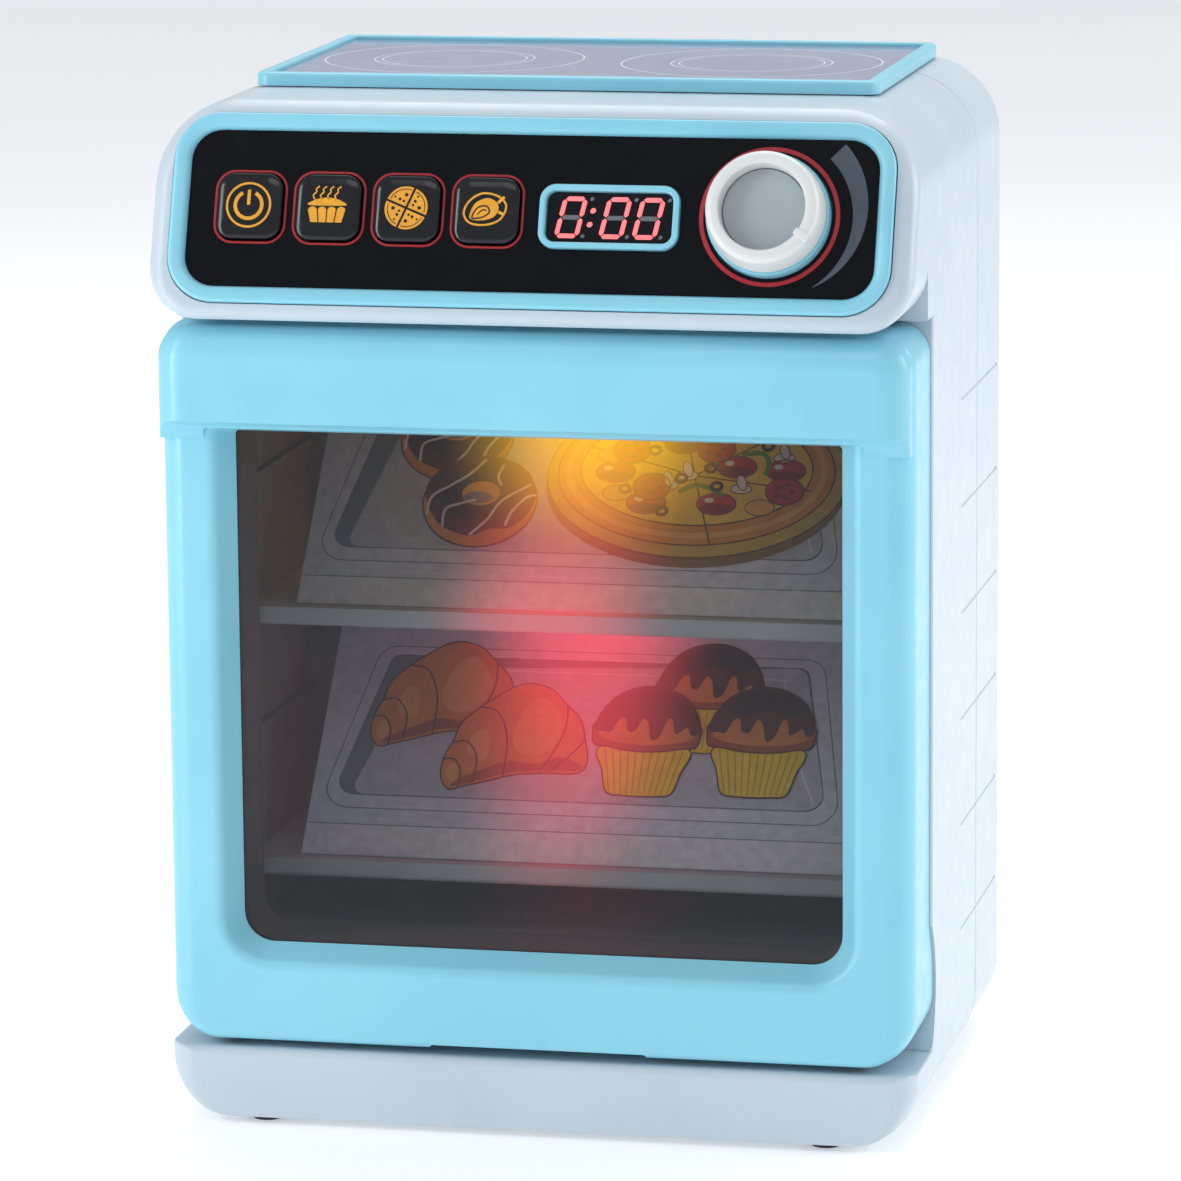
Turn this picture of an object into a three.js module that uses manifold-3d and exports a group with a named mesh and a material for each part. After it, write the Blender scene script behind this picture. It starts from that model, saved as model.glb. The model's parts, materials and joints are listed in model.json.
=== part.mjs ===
// A child's toy oven: a two-piece white casing, a tilted control console with four push buttons,
// a display and a turning knob, a play hob on top, and a drop-down oven door with a smoked window.
// Millimetres, +Z up, +Y towards the back. The origin is on the floor, under the middle of the whole
// object: the knob stands out in front of the casing and counts in its depth.
import * as THREE from "three";
import { mergeVertices } from "three/addons/utils/BufferGeometryUtils.js";
import Module from "manifold-3d";

const wasm = await Module();
wasm.setup();

// ---------------------------------------------------------------- driving dimensions, casing
const WIDTH = 210;
const DEPTH = 168;
const BODY_TOP = 284;
const WALL = 2.5;
const GAP = 0.3; // clearance between pieces that touch
const ARC_STEPS = 2; // half the number of flats on each rounded corner
const FOOT_LIFT = 2; // casing underside above the floor
const TOP_RADIUS = 22;
const BOTTOM_RADIUS = 17;
const BACK_RADIUS = 10;
const SPLIT_FROM_BACK = 51; // joint line between the two casing shells
const BASE_HEIGHT = 20; // plinth under the door
const BASE_SETBACK = 8.5;

// console
const CONSOLE_TILT = THREE.MathUtils.degToRad(20.5);
const CONSOLE_HEIGHT = 57.5;
const CONSOLE_CORNER_RADIUS = 14;
const CONSOLE_SHOULDER = 29; // the lower corners are rounded this far back, and square behind it
const CONSOLE_LIP_RADIUS = 3;
const CONSOLE_CREST_RADIUS = 5;

// door
const DOOR_SETBACK = 9; // door face behind the foremost line of the console
const DOOR_THICKNESS = 29.5;
const DOOR_GAP_BELOW = 2;
const DOOR_GAP_ABOVE = 1.5;
const DOOR_GAP_SIDE = 0.8;
const DOOR_WALL = 2.4;
const DOOR_CORNER_RADIUS = 13;
const DOOR_TOP_RADIUS = 9;
const DOOR_EDGE_RADIUS = 8;
const GRIP_HEIGHT = 28;
const GRIP_REACH = 5.5; // how far the grip stands out of the door face
const WINDOW_SIDE_MARGIN = 21;
const WINDOW_BOTTOM_MARGIN = 27;
const WINDOW_TOP_MARGIN = 30.8;
const WINDOW_RADIUS = 8.5;
const WINDOW_RECESS = 7;
const WINDOW_FLARE = 5;
const WINDOW_OVERLAP = 4;
const PANE_THICKNESS = 1.6;
const PIVOT_BEHIND_FACE = 9;
const PIVOT_ABOVE_EDGE = 16;
const EAR_RADIUS = 26.4;
const EAR_WIDTH = 8.7;
const LUG_WIDTH = 6;
const LUG_RADIUS = 4.5;
const LUG_FROM_SIDE = 21;
const PIN_RADIUS = 1.5;

// control panel, laid out on the tilted console face
const PANEL_SIDE_MARGIN = 6;
const PANEL_BOTTOM_MARGIN = 5.44;
const PANEL_HEIGHT = 52.5;
const PANEL_RADIUS = 13;
const BEZEL_WIDTH = 4.6;
const BEZEL_RISE = 1.6;
const PLATE_DEPTH = 0.6; // black plate below the casing face
const PLATE_THICKNESS = 1.6;
const TRAY_FLOOR = 2;
const BUTTON_WIDTH = 18;
const BUTTON_HEIGHT = 18.2;
const BUTTON_RADIUS = 4.4;
const BUTTON_RISE = 2;
const BUTTON_TRAVEL = 1.5;
const BUTTON_STEM = 7;
const DISPLAY_WIDTH = 38.2;
const DISPLAY_HEIGHT = 17.6;
const DISPLAY_RADIUS = 4.5;
const DISPLAY_RIM = 1.8;
const KNOB_RADIUS = 16;
const KNOB_FACE_RADIUS = 15;
const KNOB_HEIGHT = 12;
const KNOB_DISH_RADIUS = 11.6;
const KNOB_COLLAR_RADIUS = 16.7;
const KNOB_COLLAR_RISE = 3;
const KNOB_SHAFT_RADIUS = 3;
const KNOB_ZONE = 38; // the printed ring round the knob
const BOARD_DEPTH = 15.4;
const BOARD_THICKNESS = 1.6;

// hob
const HOB_SIDE_MARGIN = 17.8;
const HOB_FRONT_MARGIN = 54;
const HOB_BACK_MARGIN = 10;
const HOB_LIP = 3.4;
const HOB_RISE = 3.7;
const HOB_FLOOR = 1;
const HOB_PLATE_THICKNESS = 1.2;

// oven cavity
const LINER_SIDE_MARGIN = 12.3;
const LINER_WALL = 1.2;
const LINER_FLOOR = 46.3;
const LINER_ABOVE = 14.3; // liner roof below the console
const LINER_BACK_MARGIN = 46;
const FLOOR_BAY = 20.7; // cavity floor to the lower shelf
const SHELF_THICKNESS = 2;
const SHELF_NOSE = 5.2;
const SHELF_SETBACK = 9.5;
const CARD_SETBACK = 5; // printed card behind the shelf's front edge
const CARD_SIDE_MARGIN = 27.5;
const CARD_THICKNESS = 1;
const CARD_BACK_ROOM = 3.2; // behind the top edge of the upper card

// battery compartment, three AA cells
const CELL_LENGTH = 50.5;
const CELL_RADIUS = 7.2;
const CELL_COUNT = 3;
const CELL_SPACING = 0.8;
const CELL_COVER_ROOM = 1.2; // between the cells and the compartment's rim
const BATTERY_FLOOR = 34;
const BATTERY_WALL = 1.6;
const BATTERY_END_ROOM = 5;
const BATTERY_DOOR_THICKNESS = 2.2;

// fasteners, feet and small parts
const POST_RADIUS = 4;
const SCREW_RADIUS = 1.2;
const SCREW_HEAD_RADIUS = 2.9;
const FOOT_RADIUS = 4;
const FOOT_INSET = 26;
const FOOT_FRONT_INSET = 18;
const SPEAKER_RADIUS = 20;
const SPEAKER_HEIGHT = 170;

// ---------------------------------------------------------------- lines worked out from them
const FRONT = -DEPTH / 2;
const BACK = DEPTH / 2;
const SIDE = WIDTH / 2;
const BASE_BOTTOM = FOOT_LIFT;
const BASE_TOP = BASE_BOTTOM + BASE_HEIGHT;
const BASE_FRONT = FRONT + BASE_SETBACK;
const CONSOLE_BOTTOM = BODY_TOP - CONSOLE_HEIGHT;
const DOOR_FACE = FRONT + DOOR_SETBACK;
const DOOR_BACK = DOOR_FACE + DOOR_THICKNESS - GAP;
const FRONT_WALL = DOOR_FACE + DOOR_THICKNESS;
const DOOR_BOTTOM = BASE_TOP + DOOR_GAP_BELOW;
const DOOR_TOP = CONSOLE_BOTTOM - DOOR_GAP_ABOVE;
const DOOR_SIDE = SIDE - DOOR_GAP_SIDE;
const SPLIT = BACK - SPLIT_FROM_BACK;
const WINDOW_SIDE = SIDE - WINDOW_SIDE_MARGIN;
const WINDOW_BOTTOM = DOOR_BOTTOM + WINDOW_BOTTOM_MARGIN;
const WINDOW_TOP = DOOR_TOP - WINDOW_TOP_MARGIN;
const PANE_FRONT = DOOR_FACE + WINDOW_RECESS;
const PIVOT_Y = DOOR_FACE + PIVOT_BEHIND_FACE;
const PIVOT_Z = DOOR_BOTTOM + PIVOT_ABOVE_EDGE;
const EAR_INNER = DOOR_SIDE - EAR_WIDTH;
const LUG_X = SIDE - LUG_FROM_SIDE + LUG_WIDTH / 2;
const LINER_SIDE = SIDE - LINER_SIDE_MARGIN;
const LINER_TOP = CONSOLE_BOTTOM - LINER_ABOVE;
const LINER_FRONT = FRONT_WALL + GAP;
const LINER_BACK = BACK - LINER_BACK_MARGIN;
const CAVITY_SIDE = LINER_SIDE - LINER_WALL;
const CAVITY_FLOOR = LINER_FLOOR + LINER_WALL;
const CAVITY_TOP = LINER_TOP - LINER_WALL;
const CAVITY_BACK = LINER_BACK - LINER_WALL;
const LOWER_SHELF = LINER_FLOOR + FLOOR_BAY;
const SHELF_PITCH = (CAVITY_TOP - LOWER_SHELF) / 2;
const UPPER_SHELF = LOWER_SHELF + SHELF_PITCH;
const SHELF_FRONT = FRONT_WALL + SHELF_SETBACK;
const CARD_FRONT = SHELF_FRONT + CARD_SETBACK;
const CARD_CEILING = CAVITY_TOP - 1.2; // under the lamp lens
const CARD_RUN = CAVITY_BACK - CARD_BACK_ROOM - CARD_FRONT;
const CARD_LEAN = Math.atan(CARD_RUN / (CARD_CEILING - UPPER_SHELF));
const CELL_PITCH = 2 * CELL_RADIUS + CELL_SPACING;
const BATTERY_DEPTH = 2 * CELL_RADIUS + CELL_COVER_ROOM + BATTERY_WALL + GAP;
const HOB_SIDE = SIDE - HOB_SIDE_MARGIN;
const HOB_FRONT = FRONT + HOB_FRONT_MARGIN;
const HOB_BACK = BACK - HOB_BACK_MARGIN;
const HOB_BOTTOM = BODY_TOP + GAP;
const HOB_TOP = HOB_BOTTOM + HOB_RISE;
const PANEL_SIDE = SIDE - PANEL_SIDE_MARGIN;
const PANEL_MIDDLE = PANEL_BOTTOM_MARGIN + PANEL_HEIGHT / 2;
const PLATE_SIDE = PANEL_SIDE - BEZEL_WIDTH;
const PLATE_FRONT = -PLATE_DEPTH;
const PLATE_BACK = PLATE_FRONT - PLATE_THICKNESS;
const FLOOR_FRONT = PLATE_BACK - GAP;
const FLOOR_BACK = FLOOR_FRONT - TRAY_FLOOR;
const BOARD_FRONT = -BOARD_DEPTH;
const BOARD_BACK = BOARD_FRONT - BOARD_THICKNESS;

// The row of controls: the free width of the plate is shared between them in these proportions.
const ROW_SPACES = [8.3, 3.85, 3.85, 3.85, 5.4, 5.2, 9.95];
const ROW_ITEMS = [BUTTON_WIDTH, BUTTON_WIDTH, BUTTON_WIDTH, BUTTON_WIDTH, DISPLAY_WIDTH, KNOB_ZONE];
const ROW_X = rowCentres();
const BUTTON_NAMES = ["button_power", "button_pie", "button_pizza", "button_roast"];
const BUTTON_X = ROW_X.slice(0, BUTTON_NAMES.length);
const DISPLAY_X = ROW_X[4];
const KNOB_X = ROW_X[5];
const ROW_V = PANEL_MIDDLE + 0.4;
const DISPLAY_V = PANEL_MIDDLE - 0.7;

function rowCentres() {
  const sum = (list) => list.reduce((total, value) => total + value, 0);
  const share = (2 * PLATE_SIDE - sum(ROW_ITEMS)) / sum(ROW_SPACES);
  let edge = -PLATE_SIDE;
  return ROW_ITEMS.map((width, i) => {
    const centre = edge + ROW_SPACES[i] * share + width / 2;
    edge = centre + width / 2;
    return centre;
  });
}

// ---------------------------------------------------------------- solids
function solid(geometry) {
  const bare = new THREE.BufferGeometry();
  bare.setAttribute("position", geometry.getAttribute("position"));
  if (geometry.index) bare.setIndex(geometry.index);
  const merged = mergeVertices(bare, 1e-4);
  return new wasm.Manifold(
    new wasm.Mesh({
      numProp: 3,
      vertProperties: merged.attributes.position.array,
      triVerts: new Uint32Array(merged.index.array),
    }),
  );
}

const join = (first, ...rest) => rest.reduce((sum, one) => sum.add(one), first);
const cut = (first, ...rest) => rest.reduce((left, one) => left.subtract(one), first);
const common = (first, ...rest) => rest.reduce((shared, one) => shared.intersect(one), first);

function box(x0, x1, y0, y1, z0, z1) {
  const block = new THREE.BoxGeometry(x1 - x0, y1 - y0, z1 - z0);
  return solid(block.translate((x0 + x1) / 2, (y0 + y1) / 2, (z0 + z1) / 2));
}

// The same block on the left and on the right.
const bothSides = (x0, x1, ...rest) => join(box(x0, x1, ...rest), box(-x1, -x0, ...rest));

// Round bars along each axis, from one end to the other.
function rod(radius, length, segments) {
  return new THREE.CylinderGeometry(radius, radius, length, segments);
}

function rodX(radius, y, z, x0, x1, segments = 20) {
  const bar = rod(radius, x1 - x0, segments).rotateZ(Math.PI / 2);
  return solid(bar.translate((x0 + x1) / 2, y, z));
}

function rodY(radius, x, z, y0, y1, segments = 20) {
  return solid(rod(radius, y1 - y0, segments).translate(x, (y0 + y1) / 2, z));
}

function rodZ(radius, x, y, z0, z1, segments = 20) {
  const bar = rod(radius, z1 - z0, segments).rotateX(Math.PI / 2);
  return solid(bar.translate(x, y, (z0 + z1) / 2));
}

// An outline through corners [x, y, radius], each corner rounded by its own radius.
function outline(corners) {
  const shape = new THREE.Shape();
  const point = (i) => new THREE.Vector2(...corners.at(i % corners.length).slice(0, 2));
  corners.forEach(([, , radius = 0], i) => {
    const here = point(i);
    const before = point(i - 1).sub(here).normalize();
    const after = point(i + 1).sub(here).normalize();
    const half = Math.acos(before.dot(after)) / 2;
    const start = here.clone().addScaledVector(before, radius / Math.tan(half));
    if (i === 0) shape.moveTo(start.x, start.y);
    else shape.lineTo(start.x, start.y);
    if (radius > 0) {
      const end = here.clone().addScaledVector(after, radius / Math.tan(half));
      const middle = before.clone().add(after).normalize();
      const centre = here.clone().addScaledVector(middle, radius / Math.sin(half));
      const from = start.sub(centre).angle();
      const to = end.sub(centre).angle();
      shape.absarc(centre.x, centre.y, radius, from, to, before.cross(after) > 0);
    }
  });
  return shape;
}

// A rectangle with its lower and upper corners rounded.
function panel(x0, x1, y0, y1, low = 0, high = low) {
  return outline([
    [x0, y0, low],
    [x1, y0, low],
    [x1, y1, high],
    [x0, y1, high],
  ]);
}

function prism(shape, length, bevel) {
  const options = { depth: length, curveSegments: ARC_STEPS, bevelEnabled: false, ...bevel };
  return new THREE.ExtrudeGeometry(shape, options);
}

const ALONG_X = new THREE.Matrix4().makeBasis(
  new THREE.Vector3(0, 1, 0),
  new THREE.Vector3(0, 0, 1),
  new THREE.Vector3(1, 0, 0),
);

// Prisms of a (y, z) outline along X, of an (x, z) outline along Y, of an (x, y) outline along Z.
const alongX = (shape, x0, x1) =>
  solid(prism(shape, x1 - x0).applyMatrix4(ALONG_X).translate(x0, 0, 0));
const alongY = (shape, y0, y1) =>
  solid(prism(shape, y1 - y0).rotateX(Math.PI / 2).translate(0, y1, 0));
const alongZ = (shape, z0, z1) => solid(prism(shape, z1 - z0).translate(0, 0, z0));

// ---------------------------------------------------------------- scene graph
const toyOven = new THREE.Group();
const consoleFace = new THREE.Group(); // X right, Y up the tilted face, Z out of it
const CONSOLE_CORNER_Y = FRONT - CONSOLE_LIP_RADIUS * lipOvershoot();
consoleFace.position.set(0, CONSOLE_CORNER_Y, CONSOLE_BOTTOM);
consoleFace.rotation.x = Math.PI / 2 - CONSOLE_TILT;
toyOven.add(consoleFace);
consoleFace.updateMatrixWorld(true);

// How far the sharp corner of the console's lower edge lies in front of its rounded edge.
function lipOvershoot() {
  const half = (Math.PI / 2 - CONSOLE_TILT) / 2;
  return Math.cos(half) / Math.sin(half) - 1;
}

function finish(colour, roughness, metalness = 0, opacity = 1) {
  return { color: colour, roughness, metalness, opacity, transparent: opacity < 1 };
}

const WHITE = finish(0xe2eaf0, 0.45);
const AQUA = finish(0x8fd3e6, 0.4);
const BLACK = finish(0x0e121a, 0.15);
const KNOB_WHITE = finish(0xe1e4e4, 0.4);
const DISC_GREY = finish(0xa0acb0, 0.55);
const HOB_PRINT = finish(0xa5aac8, 0.2);
const LINER_GREY = finish(0x8c9298, 0.6);
const CARD_PRINT = finish(0xc2c8d0, 0.5);
const SMOKE = finish(0x30343c, 0.08, 0, 0.35);
const STEEL = finish(0xb8bcc2, 0.3, 1);
const RUBBER = finish(0x2a2c2f, 0.9);
const BOARD_GREEN = finish(0x2c6b3f, 0.5);
const MODULE_BLACK = finish(0x15161a, 0.5);
const AMBER = finish(0xff9a20, 0.2, 0, 0.7);
const SILICONE = finish(0xc9ccd0, 0.8);
const CELL_WRAP = finish(0x3c6ea8, 0.35, 0.2);
const LEAD_RED = finish(0xb8322a, 0.6);

function add(name, piece, look, parent = toyOven) {
  const data = piece.getMesh();
  const geometry = new THREE.BufferGeometry();
  geometry.setAttribute("position", new THREE.BufferAttribute(data.vertProperties, 3));
  geometry.setIndex(new THREE.BufferAttribute(data.triVerts, 1));
  geometry.computeVertexNormals();
  const mesh = new THREE.Mesh(geometry, new THREE.MeshStandardMaterial(look));
  mesh.name = name;
  parent.add(mesh);
  return mesh;
}

// A solid drawn on the console face, moved into the casing's frame.
const onConsole = (piece) => piece.transform(consoleFace.matrixWorld.elements);
const offConsole = (piece) => piece.transform(consoleFace.matrixWorld.clone().invert().elements);

// ---------------------------------------------------------------- casing
const bodySection = (inset) =>
  panel(
    -SIDE + inset,
    SIDE - inset,
    BASE_BOTTOM + inset,
    BODY_TOP - inset,
    BOTTOM_RADIUS - inset,
    TOP_RADIUS - inset,
  );

// Each block of the casing, or with an inset the hollow inside it.
function consoleBlock(inset, back) {
  const low = CONSOLE_BOTTOM + inset;
  const high = BODY_TOP - inset;
  const face = (z) =>
    CONSOLE_CORNER_Y + (z - CONSOLE_BOTTOM) * Math.tan(CONSOLE_TILT) + inset / Math.cos(CONSOLE_TILT);
  const lip = Math.max(CONSOLE_LIP_RADIUS - inset, 0);
  const crest = CONSOLE_CREST_RADIUS - inset;
  const side = outline([
    [face(low), low, lip],
    [back, low],
    [back, high],
    [face(high), high, crest],
  ]);
  const section = panel(
    -SIDE + inset,
    SIDE - inset,
    low,
    high,
    CONSOLE_CORNER_RADIUS - inset,
    TOP_RADIUS - inset,
  );
  return common(alongX(side, -SIDE, SIDE), alongY(section, FRONT - WALL, back));
}

// Behind the console's rounded lower corners the casing is as square below as it is at its sides.
function consoleShoulder(inset, back) {
  const front = FRONT + CONSOLE_SHOULDER + inset;
  return common(
    alongY(bodySection(inset), front, back),
    box(-SIDE, SIDE, front, back, CONSOLE_BOTTOM + inset, BODY_TOP),
  );
}

function baseBlock(inset, back) {
  const section = panel(
    -SIDE + inset,
    SIDE - inset,
    BASE_BOTTOM + inset,
    BASE_TOP - inset,
    BOTTOM_RADIUS - inset,
    0,
  );
  const plan = panel(-SIDE + inset, SIDE - inset, BASE_FRONT + inset, back, DOOR_EDGE_RADIUS - inset, 0);
  return common(alongY(section, BASE_FRONT, back), alongZ(plan, BASE_BOTTOM, BASE_TOP));
}

const POST_X = SIDE - WALL - POST_RADIUS * 2;
const POST_ROWS = [BASE_TOP + POST_RADIUS * 2, BODY_TOP - TOP_RADIUS - POST_RADIUS * 2];
const casingPosts = (y0, y1, radius) =>
  POST_ROWS.flatMap((z) => [-1, 1].map((side) => rodY(radius, side * POST_X, z, y0, y1, 10)));
const postWebs = () =>
  POST_ROWS.map((z) => bothSides(POST_X, SIDE - 1, FRONT_WALL + 1, SPLIT, z - 0.8, z + 0.8));

const POST_END = BACK - 29; // where the front shell's posts meet the back shell's bosses
const footPlaces = [
  ["foot_front_left", -SIDE + FOOT_INSET, FRONT + FOOT_FRONT_INSET],
  ["foot_front_right", SIDE - FOOT_INSET, FRONT + FOOT_FRONT_INSET],
  ["foot_back_left", -SIDE + FOOT_INSET, BACK - FOOT_FRONT_INSET],
  ["foot_back_right", SIDE - FOOT_INSET, BACK - FOOT_FRONT_INSET],
];
const footHoles = footPlaces.map(([, x, y]) => rodZ(2, x, y, 0, BASE_BOTTOM + WALL + 1, 10));

// Four snap legs of the hob tray, and with a clearance the slots they pass through.
function hobLegs(clearance) {
  const x = HOB_SIDE - 12;
  const half = 4 + clearance;
  const thick = 1 + clearance;
  const low = HOB_BOTTOM - 8;
  const high = HOB_BOTTOM + HOB_FLOOR / 2;
  return [HOB_FRONT + 10, HOB_BACK - 10].map((y) =>
    bothSides(x - thick, x + thick, y - half, y + half, low, high),
  );
}

const panelShape = (grow) =>
  panel(
    -PANEL_SIDE - grow,
    PANEL_SIDE + grow,
    PANEL_BOTTOM_MARGIN - grow,
    PANEL_BOTTOM_MARGIN + PANEL_HEIGHT + grow,
    PANEL_RADIUS + grow,
  );

const STRIKER_WIDTH = 16;
const STRIKER_Z = (LINER_TOP + CONSOLE_BOTTOM) / 2 - 0.5;

function frontShell() {
  const outer = join(
    alongY(bodySection(0), FRONT_WALL, SPLIT),
    consoleBlock(0, FRONT_WALL + 1),
    consoleShoulder(0, FRONT_WALL + 1),
    baseBlock(0, FRONT_WALL + 1),
  );
  const inner = join(
    alongY(bodySection(WALL), FRONT_WALL + WALL, SPLIT + 1),
    consoleBlock(WALL, FRONT_WALL + WALL + 1),
    consoleShoulder(WALL, FRONT_WALL + WALL + 1),
    baseBlock(WALL, FRONT_WALL + WALL + 1),
  );
  const ovenMouth = alongY(
    panel(-LINER_SIDE - GAP, LINER_SIDE + GAP, LINER_FLOOR - GAP, LINER_TOP + GAP),
    FRONT_WALL - 1,
    FRONT_WALL + WALL + 1,
  );
  const panelMouth = onConsole(alongZ(panelShape(GAP), -WALL - 5, 5));
  const earRoom = EAR_RADIUS + 2 * GAP;
  const earPockets = common(
    join(
      rodX(earRoom, PIVOT_Y, PIVOT_Z, EAR_INNER - GAP, SIDE + 1, 36),
      rodX(earRoom, PIVOT_Y, PIVOT_Z, -SIDE - 1, -EAR_INNER + GAP, 36),
    ),
    box(-SIDE - 1, SIDE + 1, FRONT, BACK, BASE_TOP, CONSOLE_BOTTOM),
  );
  const strikerSlot = box(
    -STRIKER_WIDTH / 2 - 1,
    STRIKER_WIDTH / 2 + 1,
    FRONT_WALL - 1,
    FRONT_WALL + WALL + 1,
    STRIKER_Z - 3,
    STRIKER_Z + 4,
  );
  const shell = cut(outer, inner);
  return cut(
    join(shell, ...lugs(), ...postWebs(), ...casingPosts(FRONT_WALL + 1, POST_END, POST_RADIUS)),
    ovenMouth,
    panelMouth,
    earPockets,
    strikerSlot,
    ...lugBores(),
    ...casingPosts(POST_END - 24, POST_END + 1, SCREW_RADIUS + GAP),
    ...hobLegs(GAP),
    ...footHoles,
  );
}

// The two hinge lugs that reach from the casing into the door.
function lugs() {
  return [-1, 1].map((side) => {
    const x0 = side * LUG_X - LUG_WIDTH / 2;
    const x1 = side * LUG_X + LUG_WIDTH / 2;
    return join(
      rodX(LUG_RADIUS, PIVOT_Y, PIVOT_Z, x0, x1),
      box(x0, x1, PIVOT_Y, FRONT_WALL + 1, PIVOT_Z - LUG_RADIUS, PIVOT_Z + LUG_RADIUS),
    );
  });
}

function lugBores() {
  return [-1, 1].map((side) => {
    const x = side * LUG_X;
    return rodX(PIN_RADIUS + GAP, PIVOT_Y, PIVOT_Z, x - LUG_WIDTH, x + LUG_WIDTH, 10);
  });
}

// ---------------------------------------------------------------- battery compartment places
const BATTERY_SIDE = CELL_LENGTH / 2 + BATTERY_END_ROOM;
const BATTERY_TOP = BATTERY_FLOOR + CELL_COUNT * CELL_PITCH + 16;
const BATTERY_RIM = BACK - WALL - GAP;
const BATTERY_PIVOT_Y = BACK - GAP - BATTERY_DOOR_THICKNESS / 2;
const BATTERY_PIVOT_Z = BATTERY_FLOOR + BATTERY_DOOR_THICKNESS / 2;
const BATTERY_SCREW_Z = BATTERY_TOP - 5;

function backShell() {
  const plan = (inset, front) =>
    panel(-SIDE + inset, SIDE - inset, front, BACK - inset, 0, BACK_RADIUS - inset);
  const side = (inset, front) =>
    outline([
      [front, BASE_BOTTOM + inset],
      [BACK - inset, BASE_BOTTOM + inset, BACK_RADIUS - inset],
      [BACK - inset, BODY_TOP - inset, BACK_RADIUS - inset],
      [front, BODY_TOP - inset],
    ]);
  const block = (inset, front) =>
    common(
      alongY(bodySection(inset), front, BACK),
      alongZ(plan(inset, front), 0, BODY_TOP),
      alongX(side(inset, front), -SIDE, SIDE),
    );
  const front = SPLIT + GAP;
  const shell = cut(block(0, front), block(WALL, front - 1));
  const bosses = casingPosts(POST_END + GAP, BACK - 1, POST_RADIUS + 1);
  const heads = casingPosts(POST_END + 5, BACK + 1, SCREW_HEAD_RADIUS + GAP);
  const shanks = casingPosts(POST_END - 1, POST_END + 6, SCREW_RADIUS + GAP);
  const batteryMouth = box(
    -BATTERY_SIDE - GAP,
    BATTERY_SIDE + GAP,
    BATTERY_RIM,
    BACK + 1,
    BATTERY_FLOOR - GAP,
    BATTERY_TOP + GAP,
  );
  return cut(
    join(shell, ...bosses),
    ...heads,
    ...shanks,
    batteryMouth,
    ...speakerSlots(),
    ...hobLegs(GAP),
    ...footHoles,
  );
}

// Sound slots through the back wall, in front of the speaker.
function speakerSlots() {
  return [-2, -1, 0, 1, 2].map((row) => {
    const half = Math.sqrt(1 - (row / 3) ** 2) * (SPEAKER_RADIUS - 4);
    const z = SPEAKER_HEIGHT + row * 6;
    return box(-half, half, BACK - WALL - 1, BACK + 1, z - 1.2, z + 1.2);
  });
}

// ---------------------------------------------------------------- hob
function hobTray() {
  const outer = alongZ(panel(-HOB_SIDE, HOB_SIDE, HOB_FRONT, HOB_BACK, 4), HOB_BOTTOM, HOB_TOP);
  const pocket = alongZ(hobPlateShape(GAP), HOB_BOTTOM + HOB_FLOOR, HOB_TOP + 1);
  return join(cut(outer, pocket), ...hobLegs(0));
}

const hobPlateShape = (grow) =>
  panel(
    -HOB_SIDE + HOB_LIP + GAP - grow,
    HOB_SIDE - HOB_LIP - GAP + grow,
    HOB_FRONT + HOB_LIP + GAP - grow,
    HOB_BACK - HOB_LIP - GAP + grow,
    2,
  );

function hobPlate() {
  const low = HOB_BOTTOM + HOB_FLOOR + GAP;
  return alongZ(hobPlateShape(0), low, low + HOB_PLATE_THICKNESS);
}

// ---------------------------------------------------------------- control panel, on the console face
const buttonShape = (x, grow) =>
  panel(
    x - BUTTON_WIDTH / 2 - grow,
    x + BUTTON_WIDTH / 2 + grow,
    ROW_V - BUTTON_HEIGHT / 2 - grow,
    ROW_V + BUTTON_HEIGHT / 2 + grow,
    BUTTON_RADIUS + grow,
  );
const displayShape = (grow) =>
  panel(
    DISPLAY_X - DISPLAY_WIDTH / 2 - grow,
    DISPLAY_X + DISPLAY_WIDTH / 2 + grow,
    DISPLAY_V - DISPLAY_HEIGHT / 2 - grow,
    DISPLAY_V + DISPLAY_HEIGHT / 2 + grow,
    DISPLAY_RADIUS + grow,
  );
const plateShape = (grow) =>
  panel(
    -PLATE_SIDE - grow,
    PLATE_SIDE + grow,
    PANEL_BOTTOM_MARGIN + BEZEL_WIDTH - grow,
    PANEL_BOTTOM_MARGIN + PANEL_HEIGHT - BEZEL_WIDTH + grow,
    PANEL_RADIUS - BEZEL_WIDTH + grow,
  );
const buttonHoles = (z0, z1) => BUTTON_X.map((x) => alongZ(buttonShape(x, GAP), z0, z1));
const boardPosts = (z0, z1, radius) =>
  [-1, 1].map((side) => rodZ(radius, side * (PLATE_SIDE - 5), PANEL_MIDDLE - 14, z0, z1, 10));

// The aqua bezel: a shallow tray that drops into the console from behind.
function panelBezel() {
  const rim = alongZ(panelShape(0), FLOOR_BACK, BEZEL_RISE);
  const flange = alongZ(panelShape(1.5), FLOOR_BACK, -WALL - GAP);
  const room = offConsole(consoleBlock(WALL + GAP, FRONT_WALL));
  const pocket = alongZ(plateShape(GAP), FLOOR_FRONT, BEZEL_RISE + 1);
  return cut(
    join(rim, common(flange, room), ...boardPosts(BOARD_FRONT + GAP, FLOOR_BACK + 0.5, 3)),
    pocket,
    ...buttonHoles(FLOOR_BACK - 1, FLOOR_FRONT + 1),
    alongZ(displayShape(-DISPLAY_RIM - 1), FLOOR_BACK - 1, FLOOR_FRONT + 1),
    rodZ(KNOB_SHAFT_RADIUS + 5, KNOB_X, ROW_V, FLOOR_BACK - 1, FLOOR_FRONT + 1),
    ...boardPosts(BOARD_FRONT - 1, BOARD_FRONT + 7, SCREW_RADIUS + GAP),
  );
}

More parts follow.
